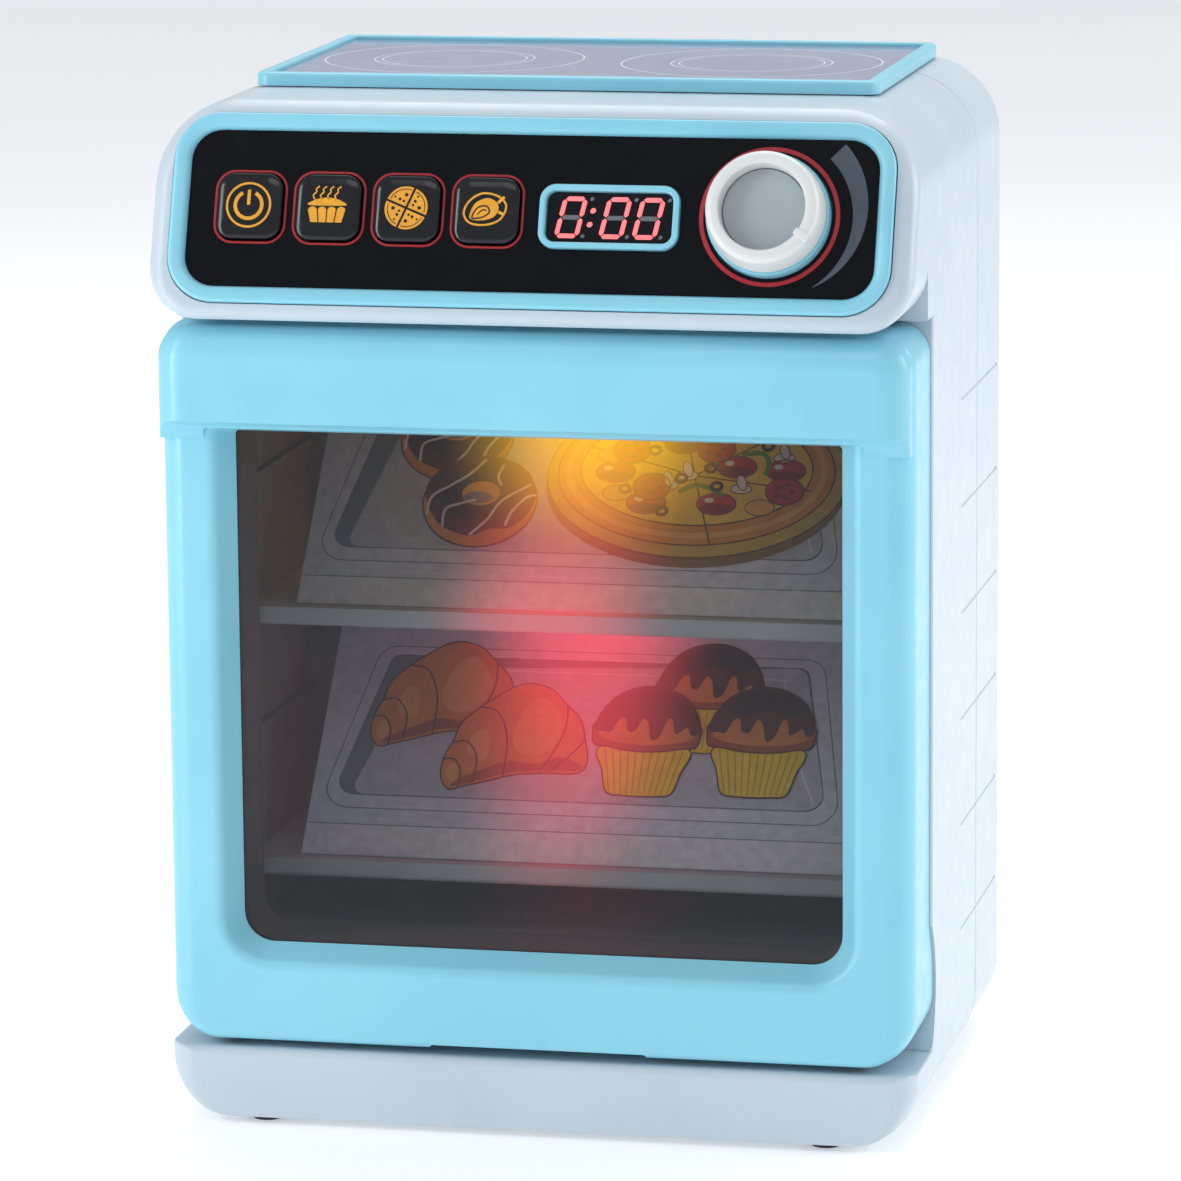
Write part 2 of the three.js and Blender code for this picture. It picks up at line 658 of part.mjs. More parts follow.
function panelPlate() {
  return cut(
    alongZ(plateShape(0), PLATE_BACK, PLATE_FRONT),
    ...buttonHoles(PLATE_BACK - 1, PLATE_FRONT + 1),
    alongZ(displayShape(GAP), PLATE_BACK - 1, PLATE_FRONT + 1),
    rodZ(KNOB_COLLAR_RADIUS + GAP, KNOB_X, ROW_V, PLATE_BACK - 1, PLATE_FRONT + 1, 36),
  );
}

const FLANGE_FRONT = FLOOR_BACK - GAP;
const FLANGE_BACK = FLANGE_FRONT - 1.5;
const STEM_END = FLANGE_BACK - 4.7;
const MAT_FRONT = BOARD_FRONT + GAP + 1.5;

function buttonCap(x) {
  const bevel = {
    bevelEnabled: true,
    bevelThickness: 1.2,
    bevelSize: 1.2,
    bevelOffset: -1.2,
    bevelSegments: 2,
  };
  const height = BUTTON_RISE - FLANGE_FRONT - 1.2;
  const cap = solid(prism(buttonShape(x, 0), height - 1.2, bevel).translate(0, 0, FLANGE_FRONT + 1.2));
  const halfWidth = BUTTON_WIDTH / 2;
  const halfFlange = BUTTON_HEIGHT / 2 + 1.6;
  const stem = BUTTON_STEM / 2;
  return join(
    cap,
    box(x - halfWidth, x + halfWidth, ROW_V - halfFlange, ROW_V + halfFlange, FLANGE_BACK, FLANGE_FRONT),
    box(x - halfWidth + 2, x + halfWidth - 2, ROW_V - 6, ROW_V + 6, FLANGE_FRONT - 1, FLANGE_FRONT + 3),
    box(x - stem, x + stem, ROW_V - stem, ROW_V + stem, STEM_END, FLANGE_BACK + 0.5),
  );
}

// Silicone key mat: a sheet on the board with a collar round each button stem.
function keypadMat() {
  const half = BUTTON_STEM / 2 + 0.8;
  const outer = half + 1.4;
  const first = BUTTON_X[0] - outer - 1;
  const last = BUTTON_X.at(-1) + outer + 1;
  const sheet = box(first, last, ROW_V - 9, ROW_V + 9, BOARD_FRONT + GAP, MAT_FRONT);
  const collars = BUTTON_X.map((x) =>
    cut(
      box(x - outer, x + outer, ROW_V - outer, ROW_V + outer, MAT_FRONT - 0.5, STEM_END + 2),
      box(x - half, x + half, ROW_V - half, ROW_V + half, MAT_FRONT, STEM_END + 3),
    ),
  );
  return join(sheet, ...collars);
}

const displayFrame = () =>
  cut(
    alongZ(displayShape(0), PLATE_BACK, 0.9),
    alongZ(displayShape(-DISPLAY_RIM), PLATE_BACK - 1, 2),
  );
const displayLens = () => alongZ(displayShape(-DISPLAY_RIM - GAP), PLATE_BACK, PLATE_BACK + 1.3);
const displayModule = () =>
  box(
    DISPLAY_X - DISPLAY_WIDTH / 2 + 1,
    DISPLAY_X + DISPLAY_WIDTH / 2 - 1,
    DISPLAY_V - DISPLAY_HEIGHT / 2 + 1,
    DISPLAY_V + DISPLAY_HEIGHT / 2 - 1,
    BOARD_FRONT + GAP,
    FLOOR_BACK - GAP,
  );

function lathe(points, segments = 32) {
  const profile = points.map(([radius, height]) => new THREE.Vector2(radius, height));
  return solid(new THREE.LatheGeometry(profile, segments).rotateX(Math.PI / 2));
}

const atKnob = (piece) => piece.translate(KNOB_X, ROW_V, 0);
const HUB_RADIUS = KNOB_SHAFT_RADIUS + 3;

function knobCollar() {
  return atKnob(
    lathe([
      [HUB_RADIUS + 1, PLATE_BACK],
      [KNOB_COLLAR_RADIUS, PLATE_BACK],
      [KNOB_COLLAR_RADIUS, KNOB_COLLAR_RISE - 0.6],
      [KNOB_COLLAR_RADIUS - 0.6, KNOB_COLLAR_RISE],
      [HUB_RADIUS + 1, KNOB_COLLAR_RISE],
      [HUB_RADIUS + 1, PLATE_BACK],
    ]),
  );
}

const KNOB_FOOT = KNOB_COLLAR_RISE + GAP;
const DISH_FLOOR = KNOB_HEIGHT - 6.8;

function knobBody() {
  const bore = KNOB_SHAFT_RADIUS + GAP;
  const body = lathe([
    [bore, PLATE_BACK + 1],
    [HUB_RADIUS, PLATE_BACK + 1],
    [HUB_RADIUS, KNOB_FOOT],
    [KNOB_RADIUS, KNOB_FOOT],
    [KNOB_FACE_RADIUS + 0.3, KNOB_HEIGHT - 1.5],
    [KNOB_FACE_RADIUS - 1, KNOB_HEIGHT],
    [KNOB_DISH_RADIUS + 0.4, KNOB_HEIGHT - 0.2],
    [KNOB_DISH_RADIUS, KNOB_HEIGHT - 0.8],
    [KNOB_DISH_RADIUS, DISH_FLOOR],
    [bore, DISH_FLOOR],
    [bore, PLATE_BACK + 1],
  ]);
  const pointer = solid(
    new THREE.BoxGeometry(3.6, 2, 4)
      .translate(KNOB_FACE_RADIUS - 0.4, 0, KNOB_HEIGHT - 2.6)
      .rotateZ(THREE.MathUtils.degToRad(-34)),
  );
  return atKnob(join(body, pointer));
}

const knobDisc = () =>
  atKnob(rodZ(KNOB_DISH_RADIUS - GAP, 0, 0, DISH_FLOOR + GAP, DISH_FLOOR + GAP + 1.6, 36));
const knobShaft = () => atKnob(rodZ(KNOB_SHAFT_RADIUS, 0, 0, BOARD_FRONT + 2, DISH_FLOOR));

function rotarySwitch() {
  const half = 7;
  return atKnob(
    cut(
      box(-half, half, -half, half, BOARD_FRONT + GAP, FLOOR_BACK - 1),
      rodZ(KNOB_SHAFT_RADIUS + GAP, 0, 0, BOARD_FRONT + 1.5, 0),
    ),
  );
}

const controlBoard = () =>
  cut(
    alongZ(
      panel(-PLATE_SIDE + 1, PLATE_SIDE - 1, PANEL_MIDDLE - 18, PANEL_MIDDLE + 14, 2),
      BOARD_BACK,
      BOARD_FRONT,
    ),
    ...boardPosts(BOARD_BACK - 1, BOARD_FRONT + 1, SCREW_RADIUS + GAP),
  );

// A pan-head screw along +Z with its head's top at the origin of z.
function screw(length) {
  return join(rodZ(SCREW_RADIUS, 0, 0, -length, -1.5, 8), rodZ(SCREW_HEAD_RADIUS, 0, 0, -2, 0, 10));
}

// ---------------------------------------------------------------- oven cavity
function ovenLiner() {
  const outer = box(-LINER_SIDE, LINER_SIDE, LINER_FRONT, LINER_BACK, LINER_FLOOR, LINER_TOP);
  const hollow = box(
    -CAVITY_SIDE,
    CAVITY_SIDE,
    LINER_FRONT - 1,
    CAVITY_BACK,
    CAVITY_FLOOR,
    CAVITY_TOP,
  );
  const flangeFront = FRONT_WALL + WALL + GAP;
  const flange = box(
    -LINER_SIDE - 4,
    LINER_SIDE + 4,
    flangeFront,
    flangeFront + LINER_WALL,
    PIVOT_Z + EAR_RADIUS + 1,
    LINER_TOP,
  );
  const lampHole = alongZ(lampShape(GAP), CAVITY_TOP - 1, LINER_TOP + 1);
  return cut(join(outer, flange), cut(hollow, ...linerRails()), lampHole);
}

// Rails along both side walls: one under each shelf, and one half-way up each bay.
function linerRails() {
  const rail = (z, reach) =>
    bothSides(CAVITY_SIDE - reach, CAVITY_SIDE, SHELF_FRONT + 6, CAVITY_BACK, z - 2, z);
  const middle = SHELF_PITCH / 2;
  return [
    rail(LOWER_SHELF - SHELF_THICKNESS - GAP, 4),
    rail(UPPER_SHELF - SHELF_THICKNESS - GAP, 4),
    rail(LOWER_SHELF + middle, 2),
    rail(UPPER_SHELF + middle, 2),
  ];
}

function shelf(top) {
  const side = CAVITY_SIDE - GAP;
  const back = CAVITY_BACK - GAP;
  return join(
    box(-side, side, SHELF_FRONT, back, top - SHELF_THICKNESS, top),
    alongX(
      panel(SHELF_FRONT, SHELF_FRONT + 3, top - SHELF_NOSE, top, 1.4),
      -side,
      side,
    ),
  );
}

// A printed card that leans back from the front of a shelf up to what is above it.
function foodCard(shelfTop, ceiling) {
  const low = shelfTop + GAP;
  const high = ceiling - GAP;
  const lean = (high - low) * Math.tan(CARD_LEAN);
  const thick = CARD_THICKNESS / Math.cos(CARD_LEAN);
  const section = outline([
    [CARD_FRONT, low],
    [CARD_FRONT + thick, low],
    [CARD_FRONT + thick + lean, high],
    [CARD_FRONT + lean, high],
  ]);
  return alongX(section, -SIDE + CARD_SIDE_MARGIN, SIDE - CARD_SIDE_MARGIN);
}

const LAMP_Y = LINER_FRONT + 24;
const lampShape = (grow) => panel(-17 - grow, 17 + grow, LAMP_Y - 7 - grow, LAMP_Y + 7 + grow, 3 + grow);
const lampLens = () =>
  join(
    alongZ(lampShape(0), CAVITY_TOP - 1.2, LINER_TOP + 0.5),
    alongZ(lampShape(2), LINER_TOP + GAP, LINER_TOP + GAP + 1.2),
  );

function lampBoard() {
  const low = LINER_TOP + GAP + 1.2 + GAP;
  return join(
    box(-20, 20, LAMP_Y - 8, LAMP_Y + 8, low + 4, low + 5.6),
    rodZ(2.5, -8, LAMP_Y, low, low + 4.5, 10),
    rodZ(2.5, 8, LAMP_Y, low, low + 4.5, 10),
  );
}

// ---------------------------------------------------------------- door
const doorOutline = (inset) =>
  panel(
    -DOOR_SIDE + inset,
    DOOR_SIDE - inset,
    DOOR_BOTTOM + inset,
    DOOR_TOP - inset,
    DOOR_CORNER_RADIUS - inset,
    DOOR_TOP_RADIUS - inset,
  );

// The door block, or with an inset its hollow; face is its front plane.
function doorBlock(inset, face, back) {
  const plan = panel(-DOOR_SIDE + inset, DOOR_SIDE - inset, face + inset, back, DOOR_EDGE_RADIUS - inset, 0);
  const side = outline([
    [face + inset, DOOR_BOTTOM + inset, Math.max(2.5 - inset, 0)],
    [back, DOOR_BOTTOM + inset],
    [back, DOOR_TOP - inset],
    [face + inset, DOOR_TOP - inset, 6 - inset],
  ]);
  return common(
    alongY(doorOutline(inset), face, back),
    alongZ(plan, DOOR_BOTTOM, DOOR_TOP),
    alongX(side, -DOOR_SIDE, DOOR_SIDE),
  );
}

const windowShape = (grow) =>
  panel(
    -WINDOW_SIDE - grow,
    WINDOW_SIDE + grow,
    WINDOW_BOTTOM - grow,
    WINDOW_TOP + grow,
    WINDOW_RADIUS + grow,
    0.5 + grow,
  );

// The window opening of the door: a funnel that narrows from the face back to the pane.
function windowFunnel() {
  const flare = {
    bevelEnabled: true,
    bevelThickness: WINDOW_RECESS,
    bevelSize: WINDOW_FLARE,
    bevelSegments: 1,
  };
  const funnel = prism(windowShape(0), 6, flare).rotateX(Math.PI / 2);
  return solid(funnel.translate(0, PANE_FRONT - WINDOW_RECESS, 0));
}

const DOOR_POST_X = DOOR_SIDE - 8.7;
const DOOR_POST_ROWS = [DOOR_BOTTOM + 46, DOOR_TOP - 10];
const doorPosts = (y0, y1, radius, rows = DOOR_POST_ROWS) =>
  rows.flatMap((z) => [-1, 1].map((side) => rodY(radius, side * DOOR_POST_X, z, y0, y1, 10)));
const DOOR_POST_END = DOOR_BACK - 4.7;

// Room for the casing's lugs as they swing through the lower back edge of the door.
const lugSlots = () =>
  bothSides(
    LUG_X - LUG_WIDTH / 2 - 0.7,
    LUG_X + LUG_WIDTH / 2 + 0.7,
    PIVOT_Y - LUG_RADIUS - 0.6,
    FRONT_WALL,
    DOOR_BOTTOM - 1,
    PIVOT_Z + LUG_RADIUS + 0.8,
  );

// The lower back edge between the ears is rounded about the pivot, so that it swings clear.
const SWING_RADIUS = DOOR_BACK - PIVOT_Y - GAP;
function swingTrim(radius) {
  const corner = box(
    -EAR_INNER,
    EAR_INNER,
    PIVOT_Y,
    FRONT_WALL + 1,
    DOOR_BOTTOM - 1,
    PIVOT_Z,
  );
  return cut(corner, rodX(radius, PIVOT_Y, PIVOT_Z, -EAR_INNER - 1, EAR_INNER + 1, 36));
}

function doorShell() {
  const gripFace = DOOR_FACE - GRIP_REACH;
  const gripBottom = DOOR_TOP - GRIP_HEIGHT;
  const gripBack = DOOR_FACE + DOOR_WALL;
  const gripBand = box(-SIDE, SIDE, gripFace - 1, gripBack, gripBottom, DOOR_TOP);
  const gripHollow = box(
    -SIDE,
    SIDE,
    gripFace - 1,
    gripBack + 1,
    gripBottom + DOOR_WALL,
    DOOR_TOP,
  );
  const rim = alongY(windowShape(WINDOW_FLARE + 2), DOOR_FACE + 1, PANE_FRONT);
  const ears = [-1, 1].map((side) => {
    const x0 = side > 0 ? EAR_INNER : -DOOR_SIDE;
    const ear = rodX(EAR_RADIUS, PIVOT_Y, PIVOT_Z, x0, x0 + EAR_WIDTH, 36);
    return common(ear, doorBlock(0, DOOR_FACE, PIVOT_Y + EAR_RADIUS));
  });
  const lintel = box(
    -WINDOW_SIDE - WINDOW_FLARE - 1,
    WINDOW_SIDE + WINDOW_FLARE + 1,
    DOOR_FACE + 0.5,
    PANE_FRONT,
    WINDOW_TOP,
    gripBottom + DOOR_WALL + 1,
  );
  const lip = box(
    -WINDOW_SIDE - WINDOW_FLARE - 1,
    WINDOW_SIDE + WINDOW_FLARE + 1,
    gripFace + 2,
    DOOR_FACE + 1,
    WINDOW_TOP,
    gripBottom + 1,
  );
  const posts = DOOR_POST_ROWS.flatMap((z) =>
    doorPosts((z < gripBottom ? DOOR_FACE : gripFace) + 1, DOOR_POST_END, 3.4, [z]),
  );
  const faceShell = cut(
    join(cut(doorBlock(0, DOOR_FACE, DOOR_BACK), doorBlock(DOOR_WALL, DOOR_FACE, DOOR_BACK + 1)), rim),
    windowFunnel(),
    swingTrim(SWING_RADIUS),
  );
  const gripShell = cut(
    common(doorBlock(0, gripFace, DOOR_BACK), gripBand),
    common(doorBlock(DOOR_WALL, gripFace, DOOR_BACK), gripHollow),
  );
  const gripRoom = common(
    doorBlock(DOOR_WALL, gripFace, DOOR_BACK + 1),
    box(-SIDE, SIDE, DOOR_FACE - 1, DOOR_BACK + 1, gripBottom + DOOR_WALL + 1.5, DOOR_TOP),
  );
  return cut(
    join(cut(join(faceShell, gripShell), gripRoom), lintel, lip, ...posts, ...ears),
    lugSlots(),
    ...doorPosts(DOOR_POST_END - 12, DOOR_POST_END + 1, SCREW_RADIUS + GAP),
    ...pinBores(),
  );
}

function pinBores() {
  const reach = EAR_INNER + EAR_WIDTH - 2;
  const radius = PIN_RADIUS + GAP;
  return [
    rodX(radius, PIVOT_Y, PIVOT_Z, EAR_INNER - 1, reach, 10),
    rodX(radius, PIVOT_Y, PIVOT_Z, -reach, -EAR_INNER + 1, 10),
  ];
}

// The door's back cover: a frame, a tunnel round the window and a curved skirt under it.
function doorInnerFrame() {
  const side = DOOR_SIDE - DOOR_WALL - GAP;
  const coverFront = DOOR_BACK - 2.2;
  const cover = alongY(
    panel(-side, side, PIVOT_Z, DOOR_TOP - DOOR_WALL - GAP, 0, DOOR_TOP_RADIUS - DOOR_WALL - GAP),
    coverFront,
    DOOR_BACK,
  );
  const earClear = bothSides(
    EAR_INNER - GAP,
    SIDE,
    DOOR_FACE,
    FRONT_WALL,
    DOOR_BOTTOM,
    PIVOT_Z + EAR_RADIUS + GAP,
  );
  const tunnel = alongY(windowShape(2.2), PANE_FRONT + PANE_THICKNESS + 2 * GAP, DOOR_BACK);
  const opening = alongY(windowShape(0.2), PANE_FRONT, DOOR_BACK + 1);
  const skirtSide = LUG_X - LUG_WIDTH / 2 - 0.7;
  const skirt = common(
    cut(
      rodX(SWING_RADIUS, PIVOT_Y, PIVOT_Z, -skirtSide, skirtSide, 36),
      rodX(SWING_RADIUS - 2, PIVOT_Y, PIVOT_Z, -skirtSide - 1, skirtSide + 1, 36),
    ),
    box(-SIDE, SIDE, PIVOT_Y, FRONT_WALL, DOOR_BOTTOM + DOOR_WALL + GAP, PIVOT_Z + 1),
  );
  const heads = doorPosts(DOOR_BACK - 2.4, DOOR_BACK + 1, SCREW_HEAD_RADIUS + GAP);
  return cut(
    join(cover, tunnel, skirt, ...doorPosts(DOOR_POST_END + GAP, DOOR_BACK, 4.2)),
    opening,
    earClear,
    lugSlots(),
    ...heads,
    ...doorPosts(DOOR_POST_END - 1, DOOR_BACK, SCREW_RADIUS + GAP),
    strikerHole(),
  );
}

const strikerHole = () =>
  box(
    -STRIKER_WIDTH / 2 - GAP,
    STRIKER_WIDTH / 2 + GAP,
    DOOR_BACK - 3,
    DOOR_BACK + 1,
    STRIKER_Z - 1.5 - GAP,
    STRIKER_Z + 1.5 + GAP,
  );

// A tongue at the top of the door that a sprung clip in the casing holds.
function doorStriker() {
  const half = STRIKER_WIDTH / 2;
  return join(
    box(-half, half, DOOR_BACK - 4, DOOR_BACK + 7, STRIKER_Z - 1.5, STRIKER_Z + 1.5),
    box(-half - 2, half + 2, DOOR_BACK - 4, DOOR_BACK - 2.5, STRIKER_Z - 3, STRIKER_Z + 3),
  );
}

function catchClip() {
  const y0 = FRONT_WALL + WALL + GAP;
  const y1 = y0 + 10;
  const low = STRIKER_Z - 3.4;
  const high = STRIKER_Z + 4.2;
  return cut(box(-6, 6, y0, y1, low, high), box(-7, 7, y0 - 1, y1 - 1.2, low + 1, high - 1));
}

const doorWindow = () =>
  alongY(
    panel(
      -WINDOW_SIDE - WINDOW_OVERLAP,
      WINDOW_SIDE + WINDOW_OVERLAP,
      WINDOW_BOTTOM - WINDOW_OVERLAP,
      WINDOW_TOP + WINDOW_OVERLAP,
      3,
    ),
    PANE_FRONT + GAP,
    PANE_FRONT + GAP + PANE_THICKNESS,
  );

function hingePin(side) {
  const inner = LUG_X - LUG_WIDTH / 2 - 0.5;
  const outer = EAR_INNER + EAR_WIDTH - 2 - GAP;
  const [x0, x1] = side > 0 ? [inner, outer] : [-outer, -inner];
  return rodX(PIN_RADIUS, PIVOT_Y, PIVOT_Z, x0, x1, 10);
}

// ---------------------------------------------------------------- battery compartment
const CELL_Y = BATTERY_RIM - CELL_RADIUS - CELL_COVER_ROOM;
const cellZ = (i) => BATTERY_FLOOR + 4 + CELL_PITCH * (i + 0.5);

function batteryBox() {
  const side = BATTERY_SIDE + BATTERY_WALL;
  const front = BATTERY_RIM - BATTERY_DEPTH;
  const boss = rodY(3.7, 0, BATTERY_SCREW_Z, front, BATTERY_RIM - 1, 10);
  const pocketTop = BATTERY_SCREW_Z - 4.2;
  return cut(
    box(-side, side, front, BATTERY_RIM, BATTERY_FLOOR - BATTERY_WALL, BATTERY_TOP + BATTERY_WALL),
    box(-BATTERY_SIDE, BATTERY_SIDE, front + BATTERY_WALL, BATTERY_RIM + 1, BATTERY_FLOOR + 2, pocketTop),
    cut(
      box(
        -BATTERY_SIDE,
        BATTERY_SIDE,
        front + BATTERY_WALL,
        BATTERY_RIM + 1,
        pocketTop + 1,
        BATTERY_TOP - 1,
      ),
      boss,
    ),
    rodY(SCREW_RADIUS + 1, 0, BATTERY_SCREW_Z, BATTERY_RIM - 8, BATTERY_RIM + 1, 10),
  );
}

function batteryCell(i) {
  const half = CELL_LENGTH / 2;
  const way = i % 2 ? -1 : 1;
  const z = cellZ(i);
  const nub = way > 0 ? [half - 1.5, half] : [-half, -half + 1.5];
  return join(
    rodX(CELL_RADIUS, CELL_Y, z, -half + (way > 0 ? 0 : 1), half - (way > 0 ? 1 : 0), 32),
    rodX(2.7, CELL_Y, z, ...nub, 10),
  );
}

// A sprung contact plate at one end of the cells.
function batteryContact(side) {
  const wall = BATTERY_SIDE - GAP;
  const x0 = wall - 0.5;
  const plate = box(x0, wall, CELL_Y - 5, CELL_Y + 5, cellZ(0) - 5, cellZ(CELL_COUNT - 1) + 5);
  const tips = Array.from({ length: CELL_COUNT }, (_, i) =>
    rodX(2.2, CELL_Y, cellZ(i), CELL_LENGTH / 2 + GAP, x0 + 0.2, 10),
  );
  const contact = join(plate, ...tips);
  return side > 0 ? contact : contact.rotate([0, 0, 180]).translate([0, 2 * CELL_Y, 0]);
}

function batteryDoor() {
  const half = BATTERY_DOOR_THICKNESS / 2;
  const side = BATTERY_SIDE - GAP;
  return cut(
    join(
      rodX(half, BATTERY_PIVOT_Y, BATTERY_PIVOT_Z, -side, side, 10),
      box(
        -side,
        side,
        BATTERY_PIVOT_Y - half,
        BATTERY_PIVOT_Y + half,
        BATTERY_PIVOT_Z,
        BATTERY_TOP - GAP,
      ),
    ),
    rodY(SCREW_RADIUS + GAP, 0, BATTERY_SCREW_Z, BATTERY_RIM - 1, BACK + 1, 10),
    rodY(SCREW_HEAD_RADIUS + GAP, 0, BATTERY_SCREW_Z, BATTERY_PIVOT_Y - 0.3, BACK + 1, 10),
  );
}

const alongBack = (piece, x, y, z) => piece.rotate([-90, 0, 0]).translate([x, y, z]);

function batteryDoorScrew() {
  const head = BATTERY_PIVOT_Y + BATTERY_DOOR_THICKNESS / 2;
  return join(
    rodY(SCREW_RADIUS, 0, BATTERY_SCREW_Z, head - 5.5, head - 0.6, 8),
    rodY(SCREW_HEAD_RADIUS, 0, BATTERY_SCREW_Z, BATTERY_PIVOT_Y, head, 10),
  );
}

// ---------------------------------------------------------------- speaker, feet and leads
function speaker() {
  const back = BACK - WALL - GAP;
  const cone = lathe([
    [0, -9],
    [9, -9],
    [9, -4],
    [SPEAKER_RADIUS - 2, -2],
    [SPEAKER_RADIUS, -2],
    [SPEAKER_RADIUS, 0],
    [SPEAKER_RADIUS - 2.5, 0],
    [6, -3],
    [0, -2],
  ]);
  return alongBack(cone, 0, back, SPEAKER_HEIGHT);
}

function foot([, x, y]) {
  const disc = BASE_BOTTOM - GAP;
  return join(
    rodZ(FOOT_RADIUS, x, y, 0, disc, 24),
    rodZ(1.7, x, y, disc - 0.5, BASE_BOTTOM + WALL + 1.5, 10),
  );
}

// A two-core lead from the back of the casing over the cavity to the board.
function lead(points, radius) {
  const path = new THREE.CatmullRomCurve3(points.map((p) => new THREE.Vector3(...p)));
  const section = new THREE.Shape().absarc(0, 0, radius, 0, 2 * Math.PI);
  const options = { steps: 18, curveSegments: 4, bevelEnabled: false, extrudePath: path };
  return solid(new THREE.ExtrudeGeometry(section, options));
}

const boardBackPoint = (x) => {
  const point = new THREE.Vector3(x, PANEL_MIDDLE, BOARD_BACK - 2);
  return point.applyMatrix4(consoleFace.matrixWorld).toArray();
};

// ---------------------------------------------------------------- assembly
add("front_shell", frontShell(), WHITE);
add("back_shell", backShell(), WHITE);
add("hob_tray", hobTray(), AQUA);
add("hob_plate", hobPlate(), HOB_PRINT);

add("panel_bezel", panelBezel(), AQUA, consoleFace);
add("panel_plate", panelPlate(), BLACK, consoleFace);
BUTTON_NAMES.forEach((name, i) => add(name, buttonCap(BUTTON_X[i]), BLACK, consoleFace));
add("keypad_mat", keypadMat(), SILICONE, consoleFace);
add("display_frame", displayFrame(), AQUA, consoleFace);
add("display_lens", displayLens(), SMOKE, consoleFace);
add("display_module", displayModule(), MODULE_BLACK, consoleFace);
add("knob_collar", knobCollar(), AQUA, consoleFace);
add("knob", knobBody(), KNOB_WHITE, consoleFace);
add("knob_disc", knobDisc(), DISC_GREY, consoleFace);
add("knob_shaft", knobShaft(), STEEL, consoleFace);
add("rotary_switch", rotarySwitch(), MODULE_BLACK, consoleFace);
add("control_board", controlBoard(), BOARD_GREEN, consoleFace);
["board_screw_left", "board_screw_right"].forEach((name, i) => {
  const x = (i ? 1 : -1) * (PLATE_SIDE - 5);
  const piece = screw(8).rotate([180, 0, 0]).translate([x, PANEL_MIDDLE - 14, BOARD_BACK - 2 - GAP]);
  add(name, piece, STEEL, consoleFace);
});

add("oven_liner", ovenLiner(), LINER_GREY);
add("shelf_lower", shelf(LOWER_SHELF), LINER_GREY);
add("shelf_upper", shelf(UPPER_SHELF), LINER_GREY);
add("food_card_lower", foodCard(LOWER_SHELF, UPPER_SHELF - SHELF_NOSE), CARD_PRINT);
add("food_card_upper", foodCard(UPPER_SHELF, CARD_CEILING), CARD_PRINT);
add("lamp_lens", lampLens(), AMBER);
add("lamp_board", lampBoard(), BOARD_GREEN);
add("catch_clip", catchClip(), STEEL);

add("door_shell", doorShell(), AQUA);
add("door_inner_frame", doorInnerFrame(), AQUA);
add("door_window", doorWindow(), SMOKE);
add("door_striker", doorStriker(), AQUA);
add("hinge_pin_left", hingePin(-1), STEEL);
add("hinge_pin_right", hingePin(1), STEEL);
["left_low", "right_low", "left_high", "right_high"].forEach((place, i) => {
  const x = i % 2 ? DOOR_POST_X : -DOOR_POST_X;
  const z = DOOR_POST_ROWS[Math.floor(i / 2)];
  add("door_screw_" + place, alongBack(screw(10), x, DOOR_BACK - GAP, z), STEEL);
});

add("battery_box", batteryBox(), WHITE);
for (let i = 0; i < CELL_COUNT; i++) add("battery_" + (i + 1), batteryCell(i), CELL_WRAP);
add("battery_contact_left", batteryContact(-1), STEEL);
add("battery_contact_right", batteryContact(1), STEEL);
add("battery_door", batteryDoor(), WHITE);
add("battery_door_screw", batteryDoorScrew(), STEEL);
add("speaker", speaker(), MODULE_BLACK);

["left_low", "right_low", "left_high", "right_high"].forEach((place, i) => {
  const x = i % 2 ? POST_X : -POST_X;
  const z = POST_ROWS[Math.floor(i / 2)];
  add("casing_screw_" + place, alongBack(screw(24), x, POST_END + 5 + 2 + GAP, z), STEEL);
});
footPlaces.forEach((place) => add(place[0], foot(place), RUBBER));

add(
  "battery_lead",
  lead(
    [
      [40, BATTERY_RIM - 10, BATTERY_TOP - 10],
      [40, LINER_BACK + 12, BATTERY_TOP + 30],
      [40, LINER_BACK + 10, LINER_TOP - 8],
      [38, LINER_BACK - 8, LINER_TOP + 24],
      [34, LAMP_Y, LINER_TOP + 22],
      boardBackPoint(30),
    ],
    1.2,
  ),
  LEAD_RED,
);
add(
  "speaker_lead",
  lead(
    [
      [-10, BACK - WALL - 12, SPEAKER_HEIGHT + 4],
      [-24, LINER_BACK + 16, SPEAKER_HEIGHT + 24],
      [-30, LINER_BACK - 6, LINER_TOP + 20],
      [-32, LAMP_Y, LINER_TOP + 22],
      boardBackPoint(-30),
    ],
    1,
  ),
  LEAD_RED,
);

// Centre the whole object over the origin: the knob stands out in front of the casing.
const extent = new THREE.Box3().setFromObject(toyOven, true);
toyOven.position.y = -(extent.min.y + extent.max.y) / 2;

export default toyOven;
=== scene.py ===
"""A child's toy oven: the looks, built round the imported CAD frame.

Pieces are modelled in millimetres in the CAD frame and scaled to metres when they are finished.
"""

import json
import math

import bmesh
import bpy
from mathutils import Matrix, Vector


